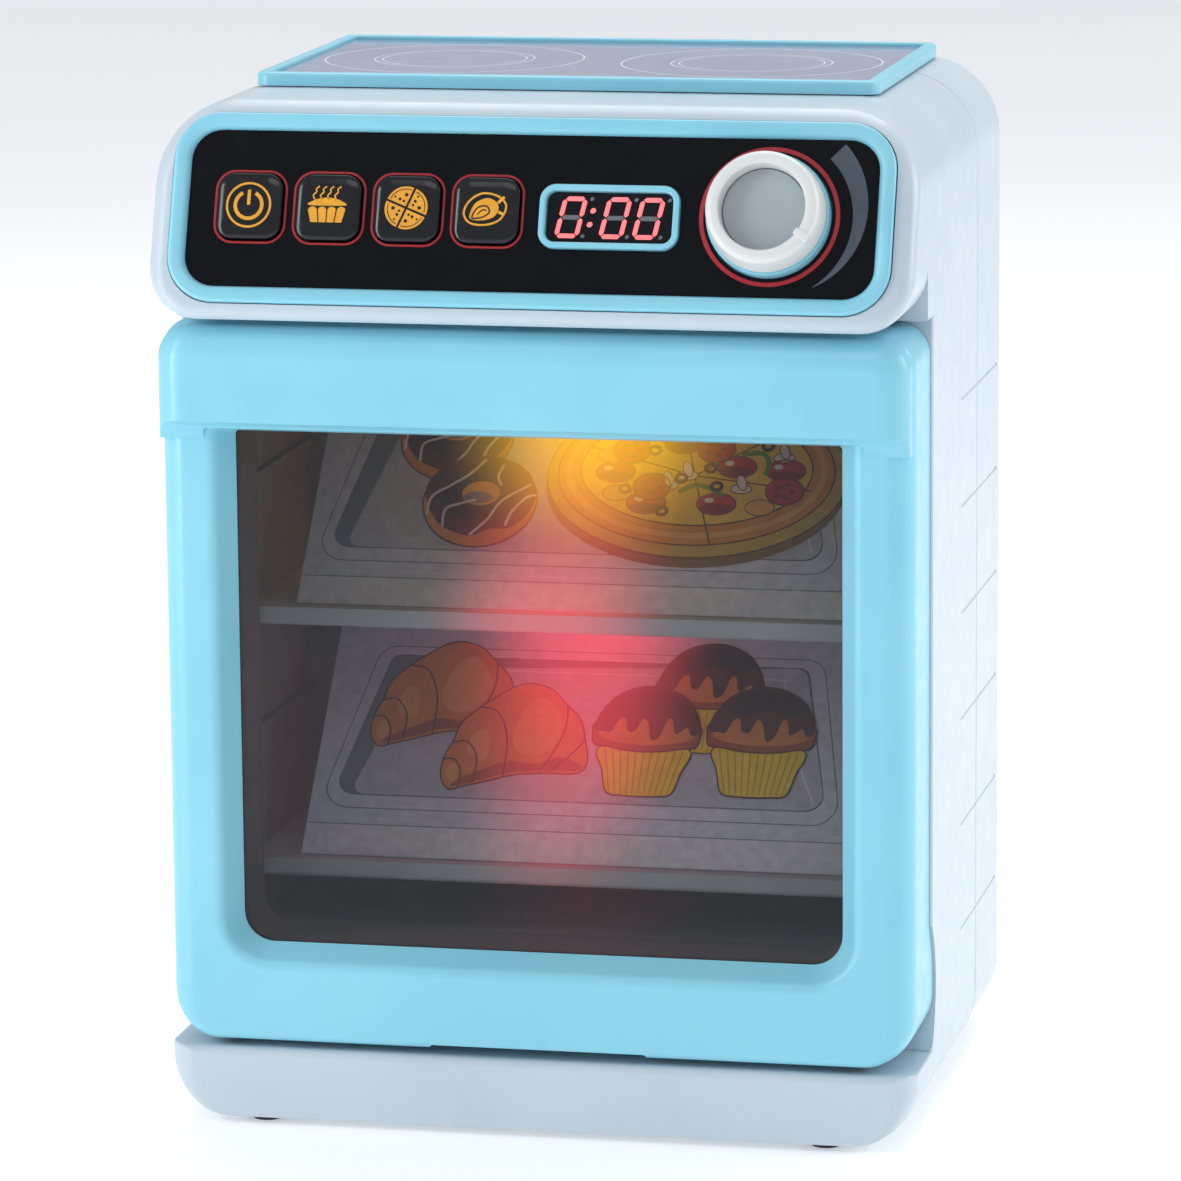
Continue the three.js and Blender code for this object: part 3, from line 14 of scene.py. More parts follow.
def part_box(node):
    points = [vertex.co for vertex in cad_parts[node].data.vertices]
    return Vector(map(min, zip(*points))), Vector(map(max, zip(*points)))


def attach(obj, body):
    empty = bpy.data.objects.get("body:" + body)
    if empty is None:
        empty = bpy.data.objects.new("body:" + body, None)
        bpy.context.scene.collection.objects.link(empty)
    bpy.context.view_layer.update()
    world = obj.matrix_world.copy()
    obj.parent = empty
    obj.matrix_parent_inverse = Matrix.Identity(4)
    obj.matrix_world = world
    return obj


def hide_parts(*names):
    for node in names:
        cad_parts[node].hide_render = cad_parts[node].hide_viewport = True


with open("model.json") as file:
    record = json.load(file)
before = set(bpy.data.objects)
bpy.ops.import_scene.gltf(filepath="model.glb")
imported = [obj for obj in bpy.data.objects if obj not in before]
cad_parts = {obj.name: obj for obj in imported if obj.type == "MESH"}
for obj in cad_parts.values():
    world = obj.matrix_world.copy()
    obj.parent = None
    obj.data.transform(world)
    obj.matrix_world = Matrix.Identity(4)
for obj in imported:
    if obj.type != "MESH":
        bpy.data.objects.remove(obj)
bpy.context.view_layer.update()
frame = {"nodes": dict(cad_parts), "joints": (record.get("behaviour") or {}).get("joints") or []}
scene = bpy.context.scene

MM = 0.001
GAP = 0.3
ARC = 9  # steps round each rounded corner
X_AXIS = Vector((1, 0, 0))


# ---------------------------------------------------------------- places, from the frame
def corners(node):
    """Lowest and highest corner of a CAD node, in millimetres."""
    low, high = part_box(node)
    return low / MM, high / MM


def reach(node, axis):
    """How far a CAD node reaches along a direction, lowest and highest, in millimetres."""
    heights = [v.co.dot(axis) / MM for v in frame["nodes"][node].data.vertices]
    return min(heights), max(heights)


JOINTS = {joint["name"]: joint for joint in frame["joints"]}
SHELL_LOW, SHELL_HIGH = corners("front_shell")
BACK_LOW, BACK_HIGH = corners("back_shell")
LINER_LOW, LINER_HIGH = corners("oven_liner")
DOOR_LOW, DOOR_HIGH = corners("door_shell")
PANE_LOW, PANE_HIGH = corners("door_window")

# casing
SIDE = SHELL_HIGH.x
FRONT = SHELL_LOW.y
BACK = BACK_HIGH.y
SPLIT = BACK_LOW.y
BODY_BOTTOM = SHELL_LOW.z
BODY_TOP = SHELL_HIGH.z
WALL = 2.5
TOP_RADIUS = 22
BOTTOM_RADIUS = 17
BACK_RADIUS = 10
FRONT_WALL = LINER_LOW.y - GAP
BASE_FRONT = FRONT + 8.5
BASE_TOP = DOOR_LOW.z - 2
BASE_PLAN_RADIUS = 8
CONSOLE_BOTTOM = DOOR_HIGH.z + 1.5
CONSOLE_CORNER = 14
CONSOLE_EDGE = 5
SHOULDER_FRONT = FRONT + 29

# door
DOOR_SIDE = DOOR_HIGH.x
DOOR_BOTTOM = DOOR_LOW.z
DOOR_TOP = DOOR_HIGH.z
GRIP_REACH = 5.5
GRIP_FACE = DOOR_LOW.y
GRIP_BOTTOM = DOOR_TOP - 28
DOOR_FACE = GRIP_FACE + GRIP_REACH
DOOR_BACK = corners("door_inner_frame")[1].y
DOOR_WALL = 2.4
WINDOW_OVERLAP = 4
# heights of the painted lamp glow, an emission on the oven's inside and on the food cards
PAINTED_RED_GLOW_HEIGHT = 122
PAINTED_AMBER_GLOW_HEIGHT = 190
WINDOW_SIDE = PANE_HIGH.x - WINDOW_OVERLAP
WINDOW_BOTTOM = PANE_LOW.z + WINDOW_OVERLAP
WINDOW_TOP = PANE_HIGH.z - WINDOW_OVERLAP
WINDOW_RADIUS = 8.5
WINDOW_FLARE = 5
PANE_FRONT = PANE_LOW.y - GAP
HINGE = Vector(JOINTS["door_hinge"]["pos_m"]) / MM
EAR_RADIUS = DOOR_HIGH.y - HINGE.y
EAR_WIDTH = 8.7

# the tilted console face: X to the right, V up the face, H out of it
OUT = -Vector(JOINTS["button_power_press"]["axis"]).normalized()
UP = OUT.cross(X_AXIS)
FACE_REACH = reach("front_shell", OUT)[1]
PLATE_LOW, PLATE_HIGH = reach("panel_plate", UP)
PLATE_SIDE = corners("panel_plate")[1].x
CONSOLE_ORIGIN = UP * (PLATE_LOW + PLATE_HIGH) / 2 + OUT * FACE_REACH
CONSOLE = Matrix.Translation(CONSOLE_ORIGIN) @ Matrix((X_AXIS, UP, OUT)).transposed().to_4x4()
PLATE_HALF = (PLATE_HIGH - PLATE_LOW) / 2
PLATE_FACE = reach("panel_plate", OUT)[1] - FACE_REACH
PLATE_RADIUS = 8.4
BEZEL_WIDTH = 4.6
KNOB = CONSOLE.inverted() @ (Vector(JOINTS["knob_turn"]["pos_m"]) / MM)
CORNER_PLACES = ["left_low", "right_low", "left_high", "right_high"]
BUTTONS = ["button_power", "button_pie", "button_pizza", "button_roast"]


def console_middle(node):
    """Where a node's middle lies on the console face."""
    low, high = corners(node)
    v_low, v_high = reach(node, UP)
    v_origin = CONSOLE_ORIGIN.dot(UP)
    return (low.x + high.x) / 2, (v_low + v_high) / 2 - v_origin


# across the console, where its controls stand
CONTROL_PLACES = [console_middle(node)[0] for node in BUTTONS + ["display_frame", "knob"]]


# ---------------------------------------------------------------- outlines
def rounded(points, steps=ARC):
    """An outline through corners (x, y, radius), each corner rounded by its own radius."""
    result = []
    count = len(points)
    for i, (x, y, radius) in enumerate(points):
        here = Vector((x, y))
        before = (Vector(points[i - 1][:2]) - here).normalized()
        after = (Vector(points[(i + 1) % count][:2]) - here).normalized()
        half = before.angle(after) / 2
        radius = max(radius, 0.02)
        centre = here + (before + after).normalized() * radius / math.sin(half)
        start = here + before * radius / math.tan(half) - centre
        end = here + after * radius / math.tan(half) - centre
        first = math.atan2(start.y, start.x)
        sweep = (math.atan2(end.y, end.x) - first + math.pi) % (2 * math.pi) - math.pi
        for k in range(steps + 1):
            angle = first + sweep * k / steps
            result.append(centre + Vector((math.cos(angle), math.sin(angle))) * radius)
    return result


def rect(x0, x1, y0, y1, low=0.0, high=None, steps=ARC):
    """A rectangle with its lower and upper corners rounded."""
    high = low if high is None else high
    return rounded([(x0, y0, low), (x1, y0, low), (x1, y1, high), (x0, y1, high)], steps)


def shoulder(radius, depth):
    """How far a rounded edge is set in at a depth below the face that it rounds off to."""
    if depth >= radius:
        return 0.0
    return radius - math.sqrt(radius**2 - (radius - depth) ** 2)


def depths(*radii, steps=8):
    """Depths at which the rounded edges of these radii are cut, finest near the face."""
    found = {0.0}
    for radius in radii:
        for k in range(1, steps + 1):
            found.add(round(radius * (1 - math.cos(math.pi / 2 * k / steps)), 4))
    return sorted(found)


def circle(x, y, radius, steps=48, start=0.0, sweep=360.0):
    """Points round a circle, or along an arc where the sweep is under a full turn."""
    count = steps if abs(sweep) >= 360 else steps + 1
    turn = math.radians(sweep) / steps
    first = math.radians(start)
    return [
        Vector((x + radius * math.cos(first + turn * k), y + radius * math.sin(first + turn * k)))
        for k in range(count)
    ]


def ellipse(x, y, across, up, steps=48, turn=0.0):
    """An ellipse by its half width and half height, turned by an angle."""
    cos, sin = math.cos(math.radians(turn)), math.sin(math.radians(turn))
    points = []
    for p in circle(0, 0, 1, steps):
        a, b = p.x * across, p.y * up
        points.append(Vector((x + a * cos - b * sin, y + a * sin + b * cos)))
    return points


def smooth(points, closed=True, steps=6):
    """A soft curve through the points."""
    points = [Vector(p) for p in points]
    count = len(points)
    spans = count if closed else count - 1
    result = []
    for i in range(spans):
        if closed:
            p0, p1, p2, p3 = (points[(i + k) % count] for k in (-1, 0, 1, 2))
        else:
            p0, p1, p2, p3 = (points[min(max(i + k, 0), count - 1)] for k in (-1, 0, 1, 2))
        for k in range(steps):
            t = k / steps
            bend = (p1 * 2 + (p2 - p0) * t + (p0 * 2 - p1 * 5 + p2 * 4 - p3) * t**2)
            result.append((bend + (p1 * 3 - p0 - p2 * 3 + p3) * t**3) / 2)
    if not closed:
        result.append(points[-1])
    return result


# ---------------------------------------------------------------- meshes
def ring_x(outline, x):
    return [Vector((x, p.x, p.y)) for p in outline]


def ring_y(outline, y):
    return [Vector((p.x, y, p.y)) for p in outline]


def ring_z(outline, z):
    return [Vector((p.x, p.y, z)) for p in outline]


def new_object(name, mesh_data):
    """A Blender object from a bmesh, closed and facing out, still in millimetres."""
    bmesh.ops.remove_doubles(mesh_data, verts=mesh_data.verts, dist=1e-4)
    bmesh.ops.recalc_face_normals(mesh_data, faces=mesh_data.faces)
    mesh = bpy.data.meshes.new(name)
    mesh_data.to_mesh(mesh)
    mesh_data.free()
    obj = bpy.data.objects.new(name, mesh)
    scene.collection.objects.link(obj)
    return obj


def loft(name, rings):
    """A closed body through rings that have as many points as each other."""
    data = bmesh.new()
    loops = [[data.verts.new(point) for point in ring] for ring in rings]
    count = len(loops[0])
    for first, second in zip(loops, loops[1:]):
        for i in range(count):
            j = (i + 1) % count
            data.faces.new((first[i], first[j], second[j], second[i]))
    data.faces.new(reversed(loops[0]))
    data.faces.new(loops[-1])
    return new_object(name, data)


def block(x0, x1, y0, y1, z0, z1, radius=0.0):
    """A box, with its upright edges rounded."""
    outline = rect(x0, x1, y0, y1, radius, steps=ARC if radius else 1)
    return loft("block", [ring_z(outline, z0), ring_z(outline, z1)])


def rod(axis, centre, radius, low, high, steps=64):
    """A round bar along x, y or z; the centre is given in the other two coordinates."""
    ring = {"x": ring_x, "y": ring_y, "z": ring_z}[axis]
    outline = circle(*centre, radius, steps)
    return loft("rod", [ring(outline, low), ring(outline, high)])


def turned(name, profile, steps=96):
    """A body turned about the Z axis through points (radius, height)."""
    outlines = [ring_z(circle(0, 0, max(radius, 0.01), steps), height) for radius, height in profile]
    return loft(name, outlines)


def merged(name, *objects):
    """Separate bodies as one object."""
    data = bmesh.new()
    for obj in objects:
        data.from_mesh(obj.data)
        bpy.data.objects.remove(obj)
    return new_object(name, data)


def settle(obj):
    """Applies an object's modifiers."""
    graph = bpy.context.evaluated_depsgraph_get()
    mesh = bpy.data.meshes.new_from_object(obj.evaluated_get(graph))
    obj.modifiers.clear()
    obj.data = mesh
    return obj


def combine(target, other, operation):
    modifier = target.modifiers.new("combine", "BOOLEAN")
    modifier.operation = operation
    modifier.solver = "EXACT"
    modifier.object = other
    settle(target)
    bpy.data.objects.remove(other)
    return target


def cut(target, *others):
    for other in others:
        combine(target, other, "DIFFERENCE")
    return target


def join(target, *others):
    for other in others:
        combine(target, other, "UNION")
    return target


def common(target, other):
    return combine(target, other, "INTERSECT")


def sliced(obj, *places):
    """Splits an object's faces along upright planes x = place, so that holes cut later lie between faces."""
    data = bmesh.new()
    data.from_mesh(obj.data)
    for x in places:
        geometry = [*data.verts, *data.edges, *data.faces]
        bmesh.ops.bisect_plane(data, geom=geometry, plane_co=(x, 0, 0), plane_no=X_AXIS)
    data.to_mesh(obj.data)
    data.free()
    return obj


def mended(obj):
    """Removes the slivers that a boolean leaves, and closes the pinholes that they leave."""
    data = bmesh.new()
    data.from_mesh(obj.data)
    bmesh.ops.dissolve_degenerate(data, edges=data.edges, dist=0.0005)
    bmesh.ops.delete(data, geom=[edge for edge in data.edges if not edge.link_faces], context="EDGES")
    bmesh.ops.holes_fill(data, edges=[edge for edge in data.edges if edge.is_boundary], sides=12)
    bmesh.ops.recalc_face_normals(data, faces=data.faces)
    data.to_mesh(obj.data)
    data.free()
    return obj


def on_console(obj):
    """Moves an object that was drawn on the console face to where it lies in the frame."""
    obj.data.transform(CONSOLE)
    return obj


def finish(obj, name, body, slot, material, *replaced):
    """Scales a piece to metres, shades it, parents it to its body's empty, and hides the CAD parts that it replaces."""
    mended(obj)
    obj.name = name
    obj.data.name = name
    obj.data.transform(Matrix.Scale(MM, 4))
    obj.data.polygons.foreach_set("use_smooth", [True] * len(obj.data.polygons))
    obj.data.set_sharp_from_angle(angle=math.radians(32))
    normals = obj.modifiers.new("normals", "WEIGHTED_NORMAL")
    normals.keep_sharp = True
    obj.data.materials.clear()
    obj.data.materials.append(material)
    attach(obj, body)
    if replaced:
        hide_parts(*replaced)
    return obj


# ---------------------------------------------------------------- materials
def linear(red, green, blue):
    """A screen colour, 0 to 255, as the shader's linear colour."""
    channels = [value / 255 for value in (red, green, blue)]
    return [c / 12.92 if c <= 0.04045 else ((c + 0.055) / 1.055) ** 2.4 for c in channels] + [1.0]


class Look:
    """A node material: a principled shader with helpers that add its procedural detail."""

    def __init__(self, name, colour, roughness, **sockets):
        self.material = bpy.data.materials.new(name)
        self.material.use_nodes = True
        self.tree = self.material.node_tree
        self.shader = self.tree.nodes["Principled BSDF"]
        self.set("Base Color", linear(*colour))
        self.set("Roughness", roughness)
        for socket, value in sockets.items():
            self.set(socket.replace("_", " "), value)
        self.place = self.node("ShaderNodeTexCoord").outputs["Object"]

    def node(self, kind, **values):
        made = self.tree.nodes.new(kind)
        for key, value in values.items():
            setattr(made, key, value)
        return made

    def set(self, socket, value):
        self.shader.inputs[socket].default_value = value

    def link(self, output, target):
        self.tree.links.new(output, target)

    def noise(self, size, detail=3.0, stretch=(1, 1, 1)):
        """Noise whose features are about this many millimetres across."""
        mapping = self.node("ShaderNodeMapping")
        mapping.inputs["Scale"].default_value = stretch
        noise = self.node("ShaderNodeTexNoise")
        noise.inputs["Scale"].default_value = 1 / (size * MM)
        noise.inputs["Detail"].default_value = detail
        self.link(self.place, mapping.inputs["Vector"])
        self.link(mapping.outputs["Vector"], noise.inputs["Vector"])
        return noise.outputs["Fac"]

    def ranged(self, value, low, high, start=0.35, end=0.65):
        ramp = self.node("ShaderNodeMapRange")
        self.link(value, ramp.inputs["Value"])
        for key, number in (("From Min", start), ("From Max", end), ("To Min", low), ("To Max", high)):
            ramp.inputs[key].default_value = number
        return ramp.outputs["Result"]

    def tint(self, value, first, second, start=0.3, end=0.7):
        """Colours the surface between two screen colours."""
        ramp = self.node("ShaderNodeValToRGB")
        for element, position, colour in zip(ramp.color_ramp.elements, (start, end), (first, second)):
            element.position = position
            element.color = linear(*colour)
        self.link(value, ramp.inputs["Fac"])
        self.link(ramp.outputs["Color"], self.shader.inputs["Base Color"])
        return ramp.outputs["Color"]

    def rough(self, value, low, high):
        self.link(self.ranged(value, low, high), self.shader.inputs["Roughness"])

    def bump(self, value, height, strength=1.0):
        """Raises the surface by a height in millimetres."""
        node = self.node("ShaderNodeBump")
        node.inputs["Distance"].default_value = height * MM
        node.inputs["Strength"].default_value = strength
        self.link(value, node.inputs["Height"])
        self.link(node.outputs["Normal"], self.shader.inputs["Normal"])


def painted_lamp_glow(look):
    """Paints the oven lamp's light on as emission: a painted amber glow under the roof and a painted red column below
    it.
    """

    def painted_pool(centre, size, colour):
        away = look.node("ShaderNodeVectorMath", operation="SUBTRACT")
        away.inputs[1].default_value = [value * MM for value in centre]
        look.link(look.place, away.inputs[0])
        scaled = look.node("ShaderNodeVectorMath", operation="MULTIPLY")
        scaled.inputs[1].default_value = [1 / (value * MM) if value else 0 for value in size]
        look.link(away.outputs["Vector"], scaled.inputs[0])
        length = look.node("ShaderNodeVectorMath", operation="LENGTH")
        look.link(scaled.outputs["Vector"], length.inputs[0])
        fade = look.node("ShaderNodeMapRange", interpolation_type="SMOOTHERSTEP")
        look.link(length.outputs["Value"], fade.inputs["Value"])
        fade.inputs["To Min"].default_value = 1
        fade.inputs["To Max"].default_value = 0
        tinted = look.node("ShaderNodeVectorMath", operation="SCALE")
        tinted.inputs[0].default_value = colour
        look.link(fade.outputs["Result"], tinted.inputs["Scale"])
        return tinted.outputs["Vector"]

    # painted lamp light: two soft emission patches stand in for the oven lamp's glow on this surface
    red = painted_pool((-4, 0, PAINTED_RED_GLOW_HEIGHT), (42, 0, 84), (1.05, 0.05, 0.08))
    amber = painted_pool((0, 0, PAINTED_AMBER_GLOW_HEIGHT), (50, 0, 44), (1.55, 0.86, 0.0))
    total = look.node("ShaderNodeVectorMath", operation="ADD")
    look.link(red, total.inputs[0])
    look.link(amber, total.inputs[1])
    look.link(total.outputs["Vector"], look.shader.inputs["Emission Color"])
    look.set("Emission Strength", 1.0)
    return look.material


def card_ink(name, colour):
    """Ink on the food cards, with the lamp's light painted on as an emission glow."""
    look = Look("card_" + name, colour, 0.5)
    darker = tuple(round(c * 0.9) for c in colour)
    look.tint(look.noise(3, 2), darker, colour)
    return painted_lamp_glow(look)


def moulded(name, colour, shade, roughness, grain=0.012, **sockets):
    """Injection-moulded plastic: faint flow shading, a fine grain and uneven gloss."""
    look = Look(name, colour, roughness, **sockets)
    look.tint(look.noise(45, 2), shade, colour)
    look.rough(look.noise(6, 4), roughness - 0.05, roughness + 0.06)
    look.bump(look.noise(0.45, 2), grain)
    return look.material


def metal(name, colour, roughness, stretch=(1, 1, 12)):
    look = Look(name, colour, roughness, Metallic=1.0)
    look.rough(look.noise(0.6, 3, stretch), roughness - 0.08, roughness + 0.12)
    look.bump(look.noise(0.4, 2, stretch), 0.004)
    return look.material


def ink(name, colour, roughness=0.45):
    """Printing ink, slightly mottled."""
    look = Look("ink_" + name, colour, roughness)
    darker = tuple(round(c * 0.93) for c in colour)
    look.tint(look.noise(2.5, 2), darker, colour)
    return look.material


WHITE = moulded("casing_white", (196, 208, 217), (190, 203, 213), 0.36, Coat_Weight=0.12)
AQUA = moulded("aqua_plastic", (140, 209, 228), (132, 203, 224), 0.34, Coat_Weight=0.12)
PANEL_BLACK = moulded("panel_black", (8, 12, 17), (5, 8, 12), 0.32, 0.004, Specular_IOR_Level=0.12)
BUTTON_BLACK = moulded("button_black", (12, 16, 22), (8, 11, 16), 0.14, 0.0, Specular_IOR_Level=0.45)
KNOB_WHITE = moulded("knob_white", (226, 228, 226), (220, 223, 222), 0.38)
FRAME_GREY = moulded("inner_frame_grey", (104, 110, 114), (96, 102, 106), 0.5)
DISC_GREY = moulded("knob_grey", (168, 178, 181), (160, 171, 175), 0.5)
RUBBER = moulded("foot_rubber", (52, 54, 58), (44, 46, 50), 0.8, 0.03)
MODULE = moulded("module_black", (30, 31, 35), (24, 25, 29), 0.5)
SILICONE = moulded("silicone", (205, 208, 212), (196, 200, 205), 0.7)
STEEL = metal("bright_steel", (190, 194, 200), 0.3)
CELL = moulded("cell_wrap", (62, 110, 168), (50, 96, 152), 0.35)
LEAD = moulded("lead_red", (184, 52, 44), (172, 44, 38), 0.55)
BOARD = moulded("board_green", (46, 108, 66), (38, 96, 58), 0.45)


def oven_grey(name, shade, colour):
    """The oven's inside: matt grey plastic with a dimpled grain, with the lamp's light painted on as an emission glow.
    """
    look = Look(name, colour, 0.55)
    look.tint(look.noise(30, 3), shade, colour)
    look.rough(look.noise(5, 3), 0.48, 0.62)
    look.bump(look.noise(1.2, 2), 0.03)
    return painted_lamp_glow(look)


def hob_print():
    look = Look("hob_print", (136, 144, 174), 0.2, Coat_Weight=0.2)
    look.tint(look.noise(60, 1), (130, 138, 169), (140, 148, 178))
    look.rough(look.noise(12, 3), 0.12, 0.22)
    return look.material


def smoked_glass():
    """Dark clear plastic: see-through, with a faint film of haze."""
    look = Look("smoked_window", (40, 44, 50), 0.05, Alpha=0.28)
    look.rough(look.noise(30, 2), 0.03, 0.07)
    return look.material


def amber_lens():
    look = Look("amber_lens", (255, 160, 40), 0.2)
    look.set("Emission Color", linear(255, 170, 50))
    look.set("Emission Strength", 3.0)
    look.bump(look.noise(2, 2), 0.2)
    return look.material


LINER = oven_grey("liner_grey", (118, 124, 128), (136, 141, 145))
SHELF_GREY = oven_grey("shelf_grey", (176, 181, 186), (190, 195, 200))
HOB_PRINT = hob_print()
GLASS = smoked_glass()
AMBER = amber_lens()


# ---------------------------------------------------------------- printing on a surface
class Print:
    """Thin closed shapes laid on a surface as one piece. A higher level lies over a lower one.

    The surface maps (u, w, height) in millimetres to a point of the frame.
    """

    def __init__(self, surface, step=0.04):
        self.surface = surface
        self.step = step
        self.data = bmesh.new()
        self.inks = []

    def slot(self, material):
        if material not in self.inks:
            self.inks.append(material)
        return self.inks.index(material)

    def fill(self, outline, material, level=0):
        """A filled outline."""
        low = [self.data.verts.new(self.surface(p.x, p.y, -self.step)) for p in outline]
        high = [self.data.verts.new(self.surface(p.x, p.y, self.step * (level + 1))) for p in outline]
        made = [self.data.faces.new(reversed(low)), self.data.faces.new(high)]
        for i in range(len(outline)):
            made.append(self.data.faces.new((low[i - 1], low[i], high[i], high[i - 1])))
        index = self.slot(material)
        for face in made:
            face.material_index = index

    def stroke(self, line, width, material, level=0, closed=False, taper=None):
        """A line of a width; taper gives the width's share at a place 0 to 1 along the line."""
        count = len(line)
        sides = ([], [])
        for i, here in enumerate(line):
            before = line[i - 1] if i or closed else here
            after = line[(i + 1) % count] if i < count - 1 or closed else here
            along = (after - before).normalized()
            share = taper(i / (count - 1)) if taper else 1
            across = Vector((-along.y, along.x)) * width / 2 * share
            sides[0].append(here + across)
            sides[1].append(here - across)
        top = self.step * (level + 1)
        # the ribbon's four edges, in order round its section
        edges = [
            [self.data.verts.new(self.surface(p.x, p.y, height)) for p in side]
            for side, height in ((sides[0], -self.step), (sides[1], -self.step), (sides[1], top), (sides[0], top))
        ]
        index = self.slot(material)
        made = []
        for i in range(count if closed else count - 1):
            j = (i + 1) % count
            for first, second in zip(edges, edges[1:] + edges[:1]):
                made.append(self.data.faces.new((first[i], first[j], second[j], second[i])))
        if not closed:
            made.append(self.data.faces.new([edge[0] for edge in edges]))
            made.append(self.data.faces.new([edge[-1] for edge in reversed(edges)]))
        for face in made:
            face.material_index = index

    def finish(self, name, body, slot):
        bmesh.ops.recalc_face_normals(self.data, faces=self.data.faces)
        mesh = bpy.data.meshes.new(name)
        self.data.to_mesh(mesh)
        self.data.free()
        mesh.transform(Matrix.Scale(MM, 4))
        for material in self.inks:
            mesh.materials.append(material)
        obj = bpy.data.objects.new(name, mesh)
        scene.collection.objects.link(obj)
        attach(obj, body)
        return obj


# ---------------------------------------------------------------- casing
def body_outline(inset=0.0):
    return rect(
        -SIDE + inset,
        SIDE - inset,
        BODY_BOTTOM + inset,
        BODY_TOP - inset,
        BOTTOM_RADIUS - inset,
        TOP_RADIUS - inset,
    )


def console_block(inset, back):
    """The tilted console, its front edges rounded, or with an inset the hollow inside it."""
    cos, sin = -OUT.y, OUT.z
    edge = max(CONSOLE_EDGE - inset, 0.5)
    rings = []
    for depth in depths(edge):
        grow = inset + shoulder(edge, depth)
        outline = rect(
            -SIDE + grow,
            SIDE - grow,
            CONSOLE_BOTTOM + grow,
            BODY_TOP - grow,
            CONSOLE_CORNER - grow,
            TOP_RADIUS - grow,
        )
        setback = depth + inset / cos
        rings.append([Vector((p.x, (p.y * sin - FACE_REACH) / cos + setback, p.y)) for p in outline])
    rings.append(ring_y(outline, back))
    return sliced(loft("console", rings), 0)


def shoulder_block(inset, back):
    outline = rect(-SIDE + inset, SIDE - inset, CONSOLE_BOTTOM + inset, BODY_TOP - inset, 0.5, TOP_RADIUS - inset)
    return loft("shoulder", [ring_y(outline, SHOULDER_FRONT + inset), ring_y(outline, back)])


def base_block(inset, back):
    """The plinth under the door, rounded in plan at its sides and along its top edge."""
    rings = []
    for depth in depths(BASE_PLAN_RADIUS, 2.5, 1.5):
        side = inset + shoulder(BASE_PLAN_RADIUS, depth)
        low = inset + shoulder(1.5, depth)
        high = inset + shoulder(2.5, depth)
        room = BASE_TOP - high - BODY_BOTTOM - low - 1
        corner = min(max(BOTTOM_RADIUS - max(side, low), 2), room)
        outline = rect(-SIDE + side, SIDE - side, BODY_BOTTOM + low, BASE_TOP - high, corner, 0.6)
        rings.append(ring_y(outline, BASE_FRONT + inset + depth))
    # it ends inside the body's wall, so that the two share no face
    rings.append(ring_y(outline, FRONT_WALL + inset + 0.2))
    side, low, high = side + 1, low + 1, high + 1
    rings.append(ring_y(rect(-SIDE + side, SIDE - side, BODY_BOTTOM + low, BASE_TOP - high, corner, 0.6), back))
    return loft("base", rings)


def hinge_lugs():
    """The two lugs that reach from the casing into the door, bored for its pins."""
    radius, width = 4.5, 6
    bodies = []
    for pin in ("hinge_pin_left", "hinge_pin_right"):
        low, high = corners(pin)
        inner = low.x + 0.5 if low.x > 0 else high.x - 0.5 - width
        arm = rect(HINGE.y, FRONT_WALL + 1, HINGE.z - radius, HINGE.z + radius)
        lug = loft("lug", [ring_x(arm, inner), ring_x(arm, inner + width)])
        join(lug, rod("x", (HINGE.y, HINGE.z), radius, inner, inner + width))
        bodies.append(cut(lug, rod("x", (HINGE.y, HINGE.z), 1.8, inner - 1, inner + width + 1, 24)))
    return merged("lugs", *bodies)


def casing_posts(start):
    """Four hollow posts that take the screws from the back."""
    posts = []
    for low, high in (corners("casing_screw_" + place) for place in CORNER_PLACES):
        middle = ((low.x + high.x) / 2, (low.z + high.z) / 2)
        end = high.y - 7.3
        post = rod("y", middle, 4, start, end, 40)
        posts.append(cut(post, rod("y", middle, 1.5, low.y - 0.5, end + 1, 24)))
    return merged("posts", *posts)


def side_grooves(y0, y1):
    """Shallow level grooves in both side walls."""
    lowest, pitch, count = 44.5, 30.3, 6
    cutters = []
    for row in range(count):
        z = lowest + pitch * row
        profile = rounded([(SIDE + 1, z - 1.4, 0), (SIDE + 1, z + 1.4, 0), (SIDE - 0.55, z, 0.5)], 4)
        for sign in (-1, 1):
            mirrored = [Vector((sign * p.x, p.y)) for p in profile]
            cutters.append(loft("groove", [ring_y(mirrored, y0), ring_y(mirrored, y1)]))
    return merged("grooves", *cutters)


def plate_outline(grow=0.0):
    """The black plate's outline on the console face, or one that lies round it."""
    x, v = PLATE_SIDE + grow, PLATE_HALF + grow
    return rect(-x, x, -v, v, PLATE_RADIUS + grow)


